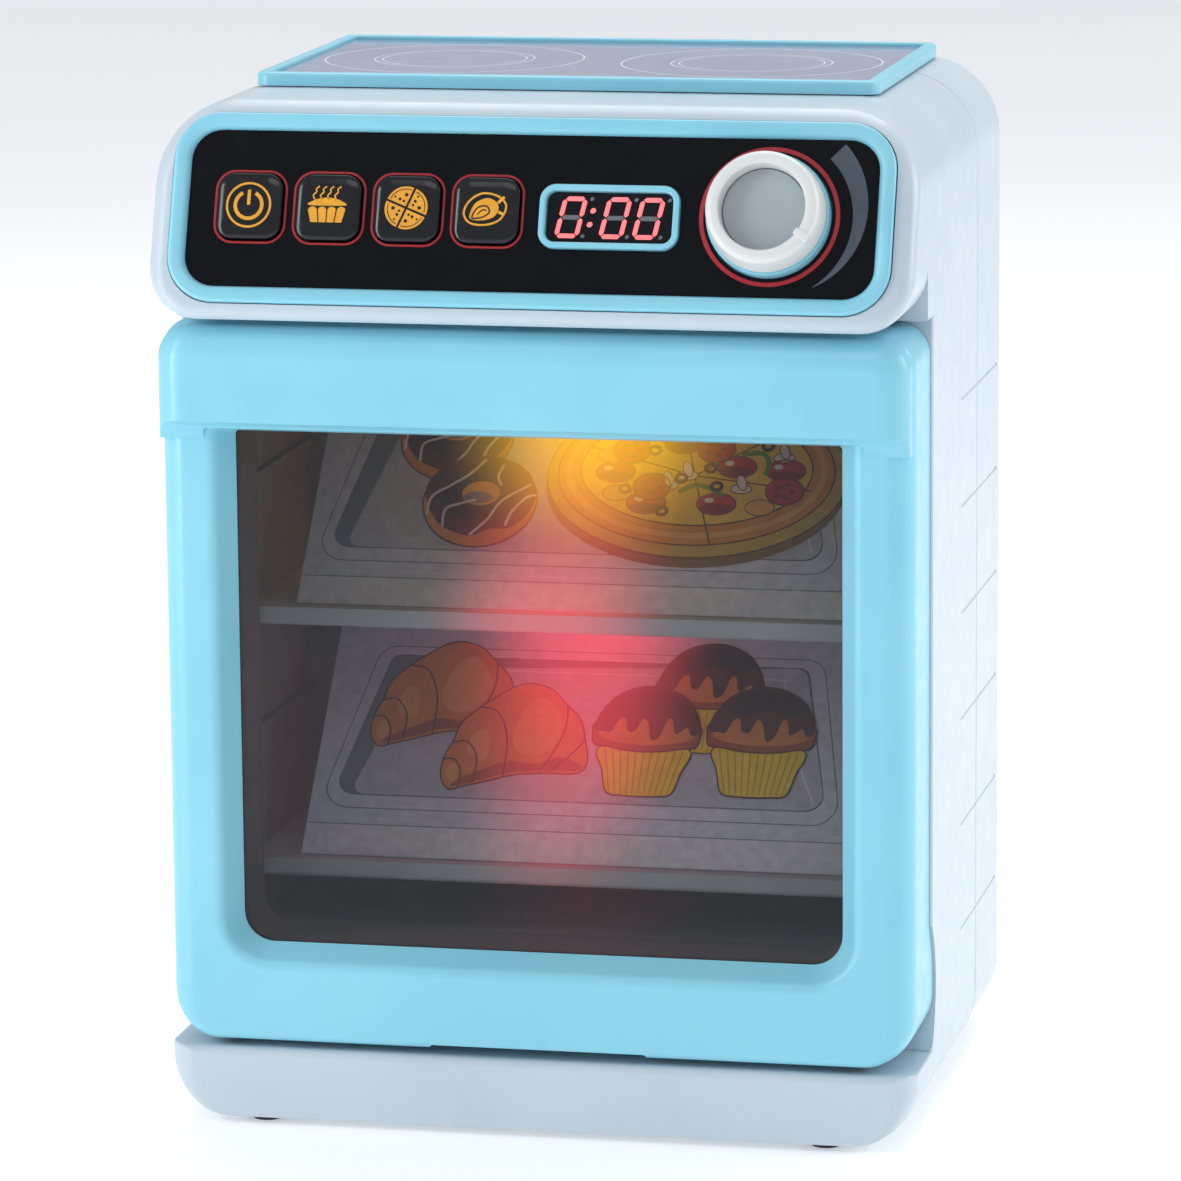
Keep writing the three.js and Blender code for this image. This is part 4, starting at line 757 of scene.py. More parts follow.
def front_shell():
    end = SPLIT - GAP
    lead = 0.5
    outer = loft(
        "front_shell_skin",
        [
            ring_y(body_outline(lead), FRONT_WALL),
            ring_y(body_outline(), FRONT_WALL + lead),
            ring_y(body_outline(), end - lead),
            ring_y(body_outline(lead), end),
        ],
    )
    sliced(outer, 0)
    join(outer, console_block(0, FRONT_WALL + 4), shoulder_block(0, FRONT_WALL + 3), base_block(0, FRONT_WALL + 4))
    inner = loft("hollow", [ring_y(body_outline(WALL), FRONT_WALL + WALL), ring_y(body_outline(WALL), end + 1)])
    sliced(inner, 0)
    hair = WALL + 0.05  # keeps the hollow's parts from sharing faces
    join(inner, console_block(hair, FRONT_WALL + 6), base_block(hair, FRONT_WALL + 6))
    cut(outer, inner)
    join(outer, hinge_lugs(), casing_posts(FRONT_WALL + 1))
    mouth = rect(LINER_LOW.x + 4 - GAP, LINER_HIGH.x - 4 + GAP, LINER_LOW.z - GAP, LINER_HIGH.z + GAP, 0.5)
    cut(outer, loft("mouth", [ring_y(mouth, FRONT_WALL - 2), ring_y(mouth, FRONT_WALL + 5)]))
    pocket = EAR_RADIUS + 2 * GAP
    inner_side = DOOR_SIDE - EAR_WIDTH - GAP
    ears = [
        rod("x", (HINGE.y, HINGE.z), pocket, inner_side, SIDE + 1, 96),
        rod("x", (HINGE.y, HINGE.z), pocket, -SIDE - 1, -inner_side, 96),
    ]
    backing_side = max(inner_side - 1.6, LINER_HIGH.x + GAP)
    backing = [
        rod("x", (HINGE.y, HINGE.z), pocket + 1.6, backing_side, SIDE - 0.5, 96),
        rod("x", (HINGE.y, HINGE.z), pocket + 1.6, 0.5 - SIDE, -backing_side, 96),
    ]
    behind = block(-SIDE - 1, SIDE + 1, FRONT_WALL + 1, BACK, BASE_TOP - 1, CONSOLE_BOTTOM)
    join(outer, common(merged("backing", *backing), behind))
    room = block(-SIDE - 2, SIDE + 2, FRONT, BACK, BASE_TOP, CONSOLE_BOTTOM)
    cut(outer, common(merged("ears", *ears), room))
    panel = plate_outline(BEZEL_WIDTH + GAP)
    cut(outer, on_console(loft("panel", [ring_z(panel, -7), ring_z(panel, 5)])))
    cut(outer, side_grooves(8, end + 1))
    return finish(outer, "front_shell_skin", "casing", "casing", WHITE, "front_shell")


def back_shell():
    rings = [ring_y(body_outline(0.5), SPLIT), ring_y(body_outline(), SPLIT + 0.5)]
    inner = [ring_y(body_outline(WALL), SPLIT - 1)]
    for depth in reversed(depths(BACK_RADIUS)):
        rings.append(ring_y(body_outline(shoulder(BACK_RADIUS, depth)), BACK - depth))
    for depth in reversed(depths(BACK_RADIUS - WALL)):
        inset = WALL + shoulder(BACK_RADIUS - WALL, depth)
        inner.append(ring_y(body_outline(inset), BACK - WALL - depth))
    screw_x = sum(corner.x for corner in corners("casing_screw_right_low")) / 2
    shell = sliced(loft("back", rings), -screw_x, 0, screw_x)
    cut(shell, sliced(loft("back_hollow", inner), 0))
    tubes, holes = [], []
    for low, high in (corners("casing_screw_" + place) for place in CORNER_PLACES):
        middle = ((low.x + high.x) / 2, (low.z + high.z) / 2)
        tubes.append(rod("y", middle, 5, high.y - 4, BACK - 1, 40))
        holes.append(rod("y", middle, 3.2, high.y - 2.3, BACK + 1, 40))
    join(shell, merged("tubes", *tubes))
    cut(shell, merged("holes", *holes))
    low, high = corners("battery_door")
    mouth = rect(low.x - GAP, high.x + GAP, low.z - GAP, high.z + GAP, 0.8)
    cut(shell, loft("mouth", [ring_y(mouth, BACK - WALL - 2), ring_y(mouth, BACK + 1)]))
    cut(shell, speaker_slots(), side_grooves(SPLIT - 1, BACK - 14))
    return finish(shell, "back_shell_skin", "casing", "casing", WHITE, "back_shell")


def speaker_slots():
    """Level sound slots with round ends, inside the speaker's circle."""
    low, high = corners("speaker")
    middle, radius = (low.z + high.z) / 2, (high.z - low.z) / 2
    slots = []
    for row in range(-2, 3):
        half = math.sqrt(1 - (row / 3) ** 2) * (radius - 4)
        z = middle + row * 6
        outline = rect(-half, half, z - 1.2, z + 1.2, 1.19)
        slots.append(loft("slot", [ring_y(outline, BACK - WALL - 1), ring_y(outline, BACK + 1)]))
    return merged("slots", *slots)


def hob():
    low, high = corners("hob_tray")
    lip = 3.4
    base = BODY_TOP + GAP
    # (height, how far in from the outer edge): up the outside, over the lip and down to the floor
    section = [(base, 0), (high.z - 1.2, 0)]
    section += [(high.z - d, shoulder(1.2, d)) for d in reversed(depths(1.2, steps=4))]
    section += [(high.z - d, lip - shoulder(0.7, d)) for d in depths(0.7, steps=4)]
    section += [(base + 1, lip)]
    rings = [
        ring_z(rect(low.x + inset, high.x - inset, low.y + inset, high.y - inset, 4.2 - inset * 0.8), z)
        for z, inset in section
    ]
    tray = loft("hob_tray_skin", rings)
    finish(tray, "hob_tray_skin", "casing", "aqua", AQUA, "hob_tray")
    low, high = corners("hob_plate")
    section = [(low.z, 0), (high.z - 0.15, 0), (high.z, 0.15)]
    rings = [ring_z(rect(low.x + i, high.x - i, low.y + i, high.y - i, 1.6), z) for z, i in section]
    finish(loft("hob_plate_skin", rings), "hob_plate_skin", "casing", "hob_print", HOB_PRINT, "hob_plate")
    hob_rings(low, high)


def hob_rings(low, high):
    """Two burners of printed rings, and a line round the plate."""
    line = ink("hob_line", (222, 226, 242), 0.25)
    art = Print(lambda x, y, h: Vector((x, y, high.z + h)), 0.02)
    middle_y = (low.y + high.y) / 2 + 0.5
    for x in (-42.7, 42.7):
        art.stroke(circle(x, middle_y, 36.6, 120), 0.55, line, closed=True)
        art.stroke(circle(x, middle_y, 22.6, 96), 0.45, line, closed=True)
        art.stroke(circle(x, middle_y, 20.4, 96), 0.45, line, closed=True)
    art.finish("hob_rings", "casing", "hob_print")


# ---------------------------------------------------------------- console
def bezel():
    floor_back = reach("panel_bezel", OUT)[0] - FACE_REACH
    rise = reach("panel_bezel", OUT)[1] - FACE_REACH
    floor = PLATE_FACE - 1.9
    # (height, how far in from the outer edge)
    section = [(floor - 2, 0), (rise - 1.1, 0)]
    section += [(rise - d, shoulder(1.1, d)) for d in reversed(depths(1.1, steps=4))]
    section += [(rise - 0.1, 2.0), (rise - 0.45, 3.3), (rise - 0.9, 4.0), (rise - 1.5, 4.35)]
    section += [(PLATE_FACE + 0.1, 4.6), (floor, 4.6)]
    rings = [ring_z(plate_outline(4.6 - inset), h) for h, inset in section]
    body = on_console(sliced(loft("panel_bezel_skin", rings), *CONTROL_PLACES))
    holes = [
        on_console(loft("hole", [ring_z(button_outline(node, 0.6), floor - 3), ring_z(button_outline(node, 0.6), 1)]))
        for node in BUTTONS
    ]
    holes.append(on_console(rod("z", (KNOB.x, KNOB.y), 8, floor - 3, 1, 48)))
    holes.append(on_console(loft("hole", [ring_z(display_outline(-3), floor - 3), ring_z(display_outline(-3), 1)])))
    cut(body, merged("holes", *holes))
    finish(body, "panel_bezel_skin", "casing", "aqua", AQUA, "panel_bezel")
    return floor_back


def button_outline(node, grow=0.0):
    low, high = corners(node)
    x, v = console_middle(node)
    half_x = (high.x - low.x) / 2 + grow
    half_v = BUTTON_HALF_HEIGHT + grow
    return rect(x - half_x, x + half_x, v - half_v, v + half_v, 4.4 + grow)


BUTTON_HALF_HEIGHT = 9.1


def display_outline(grow=0.0):
    low, high = corners("display_frame")
    x, v = console_middle("display_frame")
    v_low, v_high = reach("display_frame", UP)
    half_x, half_v = (high.x - low.x) / 2 + grow, (v_high - v_low) / 2 + grow
    return rect(x - half_x, x + half_x, v - half_v, v + half_v, max(4.5 + grow, 0.5))


def plate():
    body = loft(
        "panel_plate_skin",
        [
            ring_z(plate_outline(), PLATE_FACE - 1.6),
            ring_z(plate_outline(), PLATE_FACE - 0.12),
            ring_z(plate_outline(-0.12), PLATE_FACE),
        ],
    )
    on_console(sliced(body, *CONTROL_PLACES))
    holes = [
        on_console(loft("hole", [ring_z(button_outline(node, GAP), height) for height in (-4, 2)]))
        for node in BUTTONS
    ]
    holes.append(on_console(loft("hole", [ring_z(display_outline(GAP), -4), ring_z(display_outline(GAP), 2)])))
    holes.append(on_console(rod("z", (KNOB.x, KNOB.y), 17, -4, 2, 96)))
    cut(body, merged("holes", *holes))
    finish(body, "panel_plate_skin", "casing", "panel_black", PANEL_BLACK, "panel_plate")
    red = ink("ring_red", (178, 28, 40), 0.4)
    grey = ink("dial_grey", (74, 84, 98), 0.5)
    art = Print(lambda x, v, h: CONSOLE @ Vector((KNOB.x + x, KNOB.y + v, PLATE_FACE + h)), 0.03)
    art.stroke(circle(0, 0, 18.45, 144), 1.15, red, closed=True)
    for node in BUTTONS:
        outline = [p - Vector((KNOB.x, KNOB.y)) for p in button_outline(node, 0.75)]
        art.stroke(outline, 0.6, red, closed=True)
    far = circle(0, 0, 28.0, 60, 46, -102)
    near = [point.normalized() * (22.3 + 0.35 * i / 60) for i, point in enumerate(far)]
    far = [point.normalized() * (28.0 - 5.2 * (i / 60) ** 1.35) for i, point in enumerate(far)]
    art.fill(near + far[::-1], grey)
    art.finish("dial_print", "casing", "panel_black")


def button_height(x, v):
    """How far the domed face of a button stands over the console at a place from its middle."""
    low, high = corners(BUTTONS[0])
    half_x, radius = (high.x - low.x) / 2, 4.4
    over_x = abs(x) - half_x + radius
    over_v = abs(v) - BUTTON_HALF_HEIGHT + radius
    outside = math.hypot(max(over_x, 0), max(over_v, 0)) + min(max(over_x, over_v), 0)
    depth = min(max(radius - outside, 0) / BUTTON_DOME_REACH, 1)
    return BUTTON_EDGE_RISE + BUTTON_DOME * math.sqrt(1 - (1 - depth) ** 2)


BUTTON_DOME_REACH = 3.4
BUTTON_DOME = 1.15
BUTTON_EDGE_RISE = 0.6


def button(node):
    x, v = console_middle(node)
    low = PLATE_FACE - 1.7
    rings = [ring_z(button_outline(node), low), ring_z(button_outline(node), BUTTON_EDGE_RISE)]
    for k in range(1, 11):
        angle = math.pi / 2 * k / 10
        inset = BUTTON_DOME_REACH * (1 - math.cos(angle))
        height = BUTTON_EDGE_RISE + BUTTON_DOME * math.sqrt(1 - (1 - inset / BUTTON_DOME_REACH) ** 2)
        rings.append(ring_z(button_outline(node, -inset), height))
    body = on_console(loft(node + "_cap", rings))
    finish(body, node + "_dome", node + "_cap", "button_black", BUTTON_BLACK, node)
    art = Print(lambda a, b, h: CONSOLE @ Vector((x + a, v + b, button_height(a, b) + h)), 0.03)
    ICONS[node](art, GOLD)
    art.finish(node + "_icon", node + "_cap", "button_black")


GOLD = ink("gold", (236, 166, 44), 0.35)


def power_icon(art, gold):
    art.stroke(circle(0, 0, 6.0, 64), 0.6, gold, closed=True)
    art.stroke(circle(0, 0, 3.7, 48, 118, 304), 1.0, gold)
    art.stroke([Vector((0, 0)), Vector((0, 4.2))], 0.9, gold)


def pie_icon(art, gold):
    black = ink("icon_gap", (16, 19, 26), 0.3)
    for x in (-3.1, -1.1, 0.9, 2.9):
        line = [(x - 0.5, 1.9), (x - 0.9, 3.0), (x - 0.1, 3.9), (x - 0.2, 4.7), (x + 0.7, 5.5)]
        art.stroke(smooth(line, closed=False), 0.4, gold)
    art.fill(smooth([(-4.9, 0.3), (-4.0, 1.5), (-2.0, 2.2), (0, 2.4), (2.0, 2.2), (4.0, 1.5), (4.9, 0.3)]), gold)
    for i in range(4):
        left, right = -5.3 + 2.65 * i, -5.3 + 2.65 * (i + 1)
        flute = [Vector((left * 0.82, -4.4)), Vector((right * 0.82, -4.4)), Vector((right, -0.9))]
        flute += [Vector((right - 0.3, -0.3)), Vector(((left + right) / 2, 0.15)), Vector((left + 0.3, -0.3)), Vector((left, -0.9))]
        art.fill(flute, gold, 1)
        art.stroke(flute[2:], 0.3, black, 2)
        art.stroke([flute[1], flute[2]], 0.3, black, 2)


def pizza_icon(art, gold):
    black = ink("icon_line", (16, 19, 26), 0.3)
    turn = 68
    for quarter in range(4):
        start = turn + 90 * quarter
        middle = math.radians(start + 45)
        offset = Vector((math.cos(middle), math.sin(middle))) * 0.45
        wedge = [offset + p for p in [Vector((0, 0)), *circle(0, 0, 5.5, 20, start, 90)]]
        art.fill(wedge, gold)
        art.stroke([offset + p for p in circle(0, 0, 4.75, 20, start + 5, 80)], 0.22, black, 1)
        for angle, radius, size in ((20, 3.2, 0.5), (62, 2.6, 0.42), (45, 1.6, 0.35), (70, 4.0, 0.3)):
            spot = math.radians(start + angle)
            place = offset + Vector((math.cos(spot), math.sin(spot))) * radius
            art.fill(circle(place.x, place.y, size, 12), black, 1)


def roast_icon(art, gold):
    black = ink("icon_shade", (16, 19, 26), 0.3)
    plate_line = smooth([(-5.9, -1.2), (-4.6, 2.2), (-1.0, 4.4), (3.4, 3.6), (5.6, 1.0), (4.2, -2.6), (0.4, -4.2), (-4.0, -3.8)])
    art.stroke(plate_line, 0.55, gold, closed=True)
    bird = smooth([(-4.3, -1.6), (-2.9, 1.6), (0.2, 3.1), (2.7, 2.2), (3.6, 0.2), (2.4, -2.0), (-0.6, -3.0), (-3.6, -2.8)])
    art.fill(bird, gold, 1)
    leg = smooth([(-3.6, -2.2), (-2.2, 0.4), (0.2, 0.9), (1.1, -0.7), (-0.4, -2.0), (-2.4, -2.5)])
    art.stroke(leg, 0.42, black, 2, closed=True)
    art.stroke(smooth([(-2.2, -1.4), (-0.8, -0.2), (0.2, -0.3)], closed=False), 0.35, black, 2)
    art.stroke([Vector((3.3, 1.8)), Vector((5.0, 3.5))], 0.8, gold, 2)
    art.stroke([Vector((3.6, -0.6)), Vector((5.2, -1.4))], 0.8, gold, 2)


ICONS = dict(zip(BUTTONS, (power_icon, pie_icon, pizza_icon, roast_icon)))


def display():
    rim = 1.8
    low = PLATE_FACE - 1.6
    top = reach("display_frame", OUT)[1] - FACE_REACH
    section = [(low, 0), (top - 0.4, 0), (top - 0.12, 0.12), (top, 0.4), (top, rim - 0.5), (top - 0.3, rim - 0.1), (top - 0.6, rim)]
    outer = loft("display_frame_skin", [ring_z(display_outline(-inset), h) for h, inset in section])
    sliced(outer, console_middle("display_frame")[0])
    hollow = loft("hole", [ring_z(display_outline(-rim), low - 1), ring_z(display_outline(-rim), top + 1)])
    cut(on_console(outer), on_console(hollow))
    finish(outer, "display_frame_skin", "casing", "aqua", AQUA, "display_frame")
    lens_low = reach("display_lens", OUT)[0] - FACE_REACH
    lens_high = reach("display_lens", OUT)[1] - FACE_REACH
    rings = [ring_z(display_outline(-rim - GAP), h) for h in (lens_low, lens_high - 0.1)]
    rings.append(ring_z(display_outline(-rim - GAP - 0.15), lens_high))
    lens = on_console(loft("display_lens_skin", rings))
    finish(lens, "display_lens_skin", "casing", "display_window", DISPLAY_BLACK, "display_lens")
    digits(lens_high)


DISPLAY_BLACK = moulded("display_black", (14, 17, 23), (10, 13, 18), 0.2, 0.0, Specular_IOR_Level=0.2)

# which of the seven bars a digit lights: top, upper right, lower right, bottom, lower left, upper left, middle
SEGMENTS = {"0": (0, 1, 2, 3, 4, 5)}


def digits(height):
    """Three slanted seven-bar digits, a colon and corner dots."""
    lit = Look("segment_lit", (255, 120, 122), 0.5)
    lit.set("Emission Color", linear(255, 92, 96))
    lit.set("Emission Strength", 0.9)
    lit.rough(lit.noise(1, 2), 0.45, 0.55)
    unlit = ink("segment_unlit", (104, 108, 114), 0.5)
    x0, v0 = console_middle("display_frame")
    slant = math.tan(math.radians(11))

    def place(x, v, h):
        return CONSOLE @ Vector((x0 + x + v * slant, v0 + v, height + h))

    art = Print(place, 0.03)
    half_w, half_h, bar = 2.75, 5.1, 0.62
    for middle, digit in zip((-10.6, 1.5, 10.6), "000"):
        for index in range(7):
            colour = lit.material if index in SEGMENTS[digit] else unlit
            art.fill(segment(index, middle, half_w, half_h, bar), colour)
    for v in (-1.9, 1.9):
        art.fill(circle(-5.0, v, 0.75, 16), lit.material)
    for middle in (-10.6, 1.5, 10.6):
        for v in (-half_h, half_h):
            art.fill(circle(middle + half_w + 1.75, v, 0.55, 14), unlit)
    art.finish("display_digits", "casing", "display_window")


def segment(index, middle, half_w, half_h, bar):
    """One bar of a digit as a pointed hexagon."""
    level = {0: half_h, 3: -half_h, 6: 0.0}
    trim = 0.18
    if index in level:
        v = level[index]
        x0, x1 = middle - half_w + trim, middle + half_w - trim
        return [Vector(p) for p in ((x0, v), (x0 + bar, v + bar), (x1 - bar, v + bar), (x1, v), (x1 - bar, v - bar), (x0 + bar, v - bar))]
    x = middle + (half_w if index in (1, 2) else -half_w)
    upper = index in (1, 5)
    v0, v1 = (trim, half_h - trim) if upper else (-half_h + trim, -trim)
    return [Vector(p) for p in ((x, v0), (x + bar, v0 + bar), (x + bar, v1 - bar), (x, v1), (x - bar, v1 - bar), (x - bar, v0 + bar))]


def at_knob(obj):
    obj.data.transform(Matrix.Translation((KNOB.x, KNOB.y, 0)))
    return on_console(obj)


def knob_pointer(top):
    """The ridge across the knob's rim that shows where it points."""
    rings = []
    for height, inset in ((top - 6.0, 0), (top + 0.15, 0), (top + 0.35, 0.25)):
        outline = rect(11.2 + inset, 15.7 - inset, -1.0 + inset, 1.0 - inset, 0.5, steps=3)
        rings.append(ring_z(outline, height))
    ridge = loft("pointer", rings)
    ridge.data.transform(Matrix.Rotation(math.radians(-34), 4, "Z"))
    return ridge


def knob():
    low = PLATE_FACE - 1.6
    collar_top = reach("knob_collar", OUT)[1] - FACE_REACH
    collar = turned("knob_collar_skin", [(7, low), (16.7, low), (16.7, collar_top - 0.7), (16.5, collar_top - 0.2), (16.0, collar_top), (7, collar_top)])
    cut(sliced(collar, 0), rod("z", (0, 0), 7.0, low - 1, collar_top + 1, 48))
    finish(at_knob(collar), "knob_collar_skin", "casing", "aqua", AQUA, "knob_collar")
    top = reach("knob", OUT)[1] - FACE_REACH
    foot = collar_top + GAP
    dish = top - 6.8
    profile = [(6, low + 1), (6, foot), (15.75, foot), (16.0, foot + 0.3), (15.9, foot + 1.2), (15.35, top - 1.6)]
    profile += [(14.9, top - 0.7), (14.2, top - 0.15), (13.4, top), (12.4, top), (11.85, top - 0.25), (11.6, top - 0.8), (11.5, dish)]
    body = turned("knob_skin", profile)
    cut(sliced(body, 0), rod("z", (0, 0), 3.3, low - 1, dish + 2, 40))
    join(body, knob_pointer(top))
    finish(at_knob(body), "knob_skin", "knob", "knob_white", KNOB_WHITE, "knob")
    disc = turned("knob_disc_skin", [(0, dish + GAP), (11.3, dish + GAP), (11.3, dish + 1.7), (11.1, dish + 1.9), (0, dish + 1.9)])
    finish(at_knob(disc), "knob_disc_skin", "knob", "knob_grey", DISC_GREY, "knob_disc")


# ---------------------------------------------------------------- door
def door_section(side, low, high):
    corner = max(13 - max(side, low) * 0.8, 1)
    return rect(-DOOR_SIDE + side, DOOR_SIDE - side, DOOR_BOTTOM + low, DOOR_TOP - high, corner, max(9 - side * 0.5, 1))


def door_block(inset, back):
    """The door's body, its front edges rounded, or with an inset the hollow inside it."""
    rings = []
    for depth in depths(8, 6, 2.5):
        side = inset + shoulder(8, depth)
        low = inset + shoulder(2.5, depth)
        high = inset + shoulder(6, depth)
        rings.append(ring_y(door_section(side, low, high), DOOR_FACE + inset + depth))
    rings.append(ring_y(door_section(inset, inset, inset), back))
    return sliced(loft("door", rings), 0)


def grip_block():
    """The grip along the door's top: rounded above and at its ends, and flared below into the frame."""
    rings = []
    flare = GRIP_REACH
    for depth in sorted({d for d in depths(9) if d < flare} | {flare * k / 6 for k in range(7)}):
        side = shoulder(9, depth)
        top = shoulder(9, depth)
        low = 1.2 - (flare - math.sqrt(max(flare**2 - depth**2, 0)))
        outline = rect(-DOOR_SIDE + side, DOOR_SIDE - side, GRIP_BOTTOM + low, DOOR_TOP - top, 0.4, max(10 - side, 1))
        rings.append(ring_y(outline, GRIP_FACE + depth))
    rings.append(ring_y(outline, DOOR_FACE + 4))
    return sliced(loft("grip", rings), 0)


def funnel():
    """The cutter for the window's sunk opening: flared sides that roll over softly onto the door's face."""
    depth_all = PANE_FRONT - DOOR_FACE
    roll = 4
    slope = math.atan2(WINDOW_FLARE, depth_all)
    turn = math.pi / 2 - slope
    edge = WINDOW_FLARE + roll * math.tan(turn / 2)
    profile = [(-GRIP_REACH - 1, edge)]
    for k in range(9):
        angle = turn * k / 8
        profile.append((roll * (1 - math.cos(angle)), edge - roll * math.sin(angle)))
    profile.append((depth_all, 0))
    profile.append((depth_all + 0.6, 0))
    rings = []
    for depth, grow in profile:
        share = min(max((depth + GRIP_REACH) / (depth_all + GRIP_REACH), 0), 1)
        top = GRIP_BOTTOM + (WINDOW_TOP - GRIP_BOTTOM) * share
        side = WINDOW_SIDE + grow
        outline = rect(-side, side, WINDOW_BOTTOM - grow, top, WINDOW_RADIUS + grow, 1.0)
        rings.append(ring_y(outline, DOOR_FACE + depth))
    return loft("funnel", rings)


def door():
    shell = door_block(0, DOOR_BACK)
    join(shell, grip_block())
    rim = rect(-WINDOW_SIDE - 9, WINDOW_SIDE + 9, WINDOW_BOTTOM - 9, WINDOW_TOP + 9, WINDOW_RADIUS + 9, 2)
    keep = loft("rim", [ring_y(rim, DOOR_FACE), ring_y(rim, PANE_FRONT)])
    cut(shell, cut(door_block(DOOR_WALL, DOOR_BACK + 1), keep))
    cut(shell, funnel())
    ear_inner = DOOR_SIDE - EAR_WIDTH
    trim = block(-ear_inner, ear_inner, HINGE.y, FRONT_WALL + 1, DOOR_BOTTOM - 1, HINGE.z)
    swing = DOOR_BACK - HINGE.y - GAP
    cut(shell, cut(trim, rod("x", (HINGE.y, HINGE.z), swing, -SIDE, SIDE, 96)))
    ears = merged(
        "ears",
        rod("x", (HINGE.y, HINGE.z), EAR_RADIUS, ear_inner, DOOR_SIDE, 128),
        rod("x", (HINGE.y, HINGE.z), EAR_RADIUS, -DOOR_SIDE, -ear_inner, 128),
    )
    common(ears, door_block(0, HINGE.y + EAR_RADIUS + 1))
    # the ears start inside the door's front wall, short of its face
    cut(ears, block(-SIDE, SIDE, DOOR_FACE - 1, DOOR_FACE + 1.2, DOOR_BOTTOM - 1, DOOR_TOP))
    join(shell, ears)
    cut(shell, lug_slots(), bottom_notch())
    finish(shell, "door_shell_skin", "door", "aqua", AQUA, "door_shell")


def lug_slots():
    slots = []
    for pin in ("hinge_pin_left", "hinge_pin_right"):
        low, high = corners(pin)
        inner = low.x + 0.5 if low.x > 0 else high.x - 6.5
        slots.append(block(inner - 0.7, inner + 6.7, HINGE.y - 5.1, FRONT_WALL, DOOR_BOTTOM - 1, HINGE.z + 5.3))
    return merged("slots", *slots)


def bottom_notch():
    """A shallow relief in the middle of the door's lower edge."""
    outline = rounded([(-31, DOOR_BOTTOM - 1, 0), (31, DOOR_BOTTOM - 1, 0), (30, DOOR_BOTTOM + 1.1, 0.5), (-30, DOOR_BOTTOM + 1.1, 0.5)], 4)
    return loft("notch", [ring_y(outline, DOOR_FACE - 1), ring_y(outline, DOOR_BACK)])


def window():
    low, high = PANE_LOW, PANE_HIGH
    outline = rect(low.x, high.x, low.z, high.z, 3)
    slim = rect(low.x + 0.2, high.x - 0.2, low.z + 0.2, high.z - 0.2, 2.8)
    pane = loft("pane", [ring_y(slim, low.y), ring_y(outline, low.y + 0.2), ring_y(outline, high.y - 0.2), ring_y(slim, high.y)])
    finish(pane, "door_window_pane", "door", "smoked_window", GLASS, "door_window")


# ---------------------------------------------------------------- pictures on the food cards
CARD_PAPER = card_ink("paper", (216, 224, 242))
TRAY_FLOOR = card_ink("tray_floor", (192, 199, 214))
TRAY_SHADE = card_ink("tray_shade", (122, 130, 150))
TRAY_LIGHT = card_ink("tray_light", (228, 232, 240))
TRAY_LINE = card_ink("tray_line", (140, 147, 164))
LINE = card_ink("line", (72, 40, 28))
BUN = card_ink("bun", (226, 146, 62))
BUN_LIGHT = card_ink("bun_light", (240, 176, 92))
BUN_SHADE = card_ink("bun_shade", (168, 88, 42))
CHOCOLATE = card_ink("chocolate", (96, 44, 34))
CHOCOLATE_DARK = card_ink("chocolate_dark", (52, 28, 26))
ICING = card_ink("icing", (236, 232, 238))
PAPER_CUP = card_ink("cup", (248, 224, 30))
CUP_FOLD = card_ink("cup_fold", (214, 176, 20))
CHEESE = card_ink("cheese", (240, 206, 70))
CRUST = card_ink("crust", (218, 150, 56))
CRUST_LIGHT = card_ink("crust_light", (234, 182, 88))
BOARD_TOP = card_ink("board_top", (206, 178, 74))
BOARD_SIDE = card_ink("board_side", (140, 108, 66))
TOMATO = card_ink("tomato", (196, 44, 48))
TOMATO_SHADE = card_ink("tomato_shade", (136, 28, 40))
PEPPER = card_ink("pepper", (104, 152, 48))
OLIVE = card_ink("olive", (48, 38, 52))


def card_print(node):
    """Printing laid out on a leaning card: X across, and up the card from its foot."""
    mesh = frame["nodes"][node].data
    front = max((face for face in mesh.polygons if face.normal.y < 0), key=lambda face: face.area)
    out = front.normal.copy()
    upward = out.cross(X_AXIS)
    face, foot = reach(node, out)[1], reach(node, upward)[0]
    return Print(lambda u, w, h: X_AXIS * u + upward * (foot + w) + out * (face + h), 0.03)


def tray(art, foot, top):
    """A baking tray drawn in perspective, with a lighter strip along the card's foot."""
    art.fill([Vector(p) for p in ((-77.2, 0.3), (77.2, 0.3), (77.2, foot - 5.5), (-77.2, foot - 5.5))], TRAY_LIGHT)
    for height, ink_ in ((foot - 5.3, TRAY_LINE), (foot - 3.4, TRAY_LIGHT)):
        art.stroke([Vector((-77, height)), Vector((77, height))], 0.3, ink_, 1)
    lean = (top - foot) * 0.2
    edge = [(-75, foot, 7), (75, foot, 7), (75 - lean, top, 6), (-75 + lean, top, 6)]
    art.stroke(rounded(edge), 0.35, TRAY_LINE, 1, closed=True)
    inner = [(-71.5, foot + 4.2, 5), (70.5, foot + 4.2, 5), (71 - lean, top - 2.5, 4), (-71.5 + lean, top - 2.5, 4)]
    art.fill(rounded(inner), TRAY_SHADE, 1)
    floor = [(-66.5, foot + 4.6, 3), (70.2, foot + 4.6, 5), (70.4 - lean, top - 3, 4), (-64 + lean, top - 7, 2)]
    art.fill(rounded(floor), TRAY_FLOOR, 2)
    side = [(66.5, foot + 7), (63.6 - lean * 0.5, (foot + top) / 2), (64.5 - lean, top - 7)]
    art.stroke(smooth(side, closed=False), 0.5, TRAY_LIGHT, 3)
    art.stroke([Vector((-63 + lean, top - 7)), Vector((66 - lean, top - 7))], 0.4, TRAY_LIGHT, 3)
    art.stroke([Vector((-71.5 + lean, top - 2.5)), Vector((71 - lean, top - 2.5))], 0.4, TRAY_LIGHT, 3)


def shape(art, points, fill, level, line=0.4):
    """A filled soft outline with a drawn edge."""
    outline = smooth(points)
    art.fill(outline, fill, level)
    if line:
        art.stroke(outline, line, LINE, level + 1, closed=True)


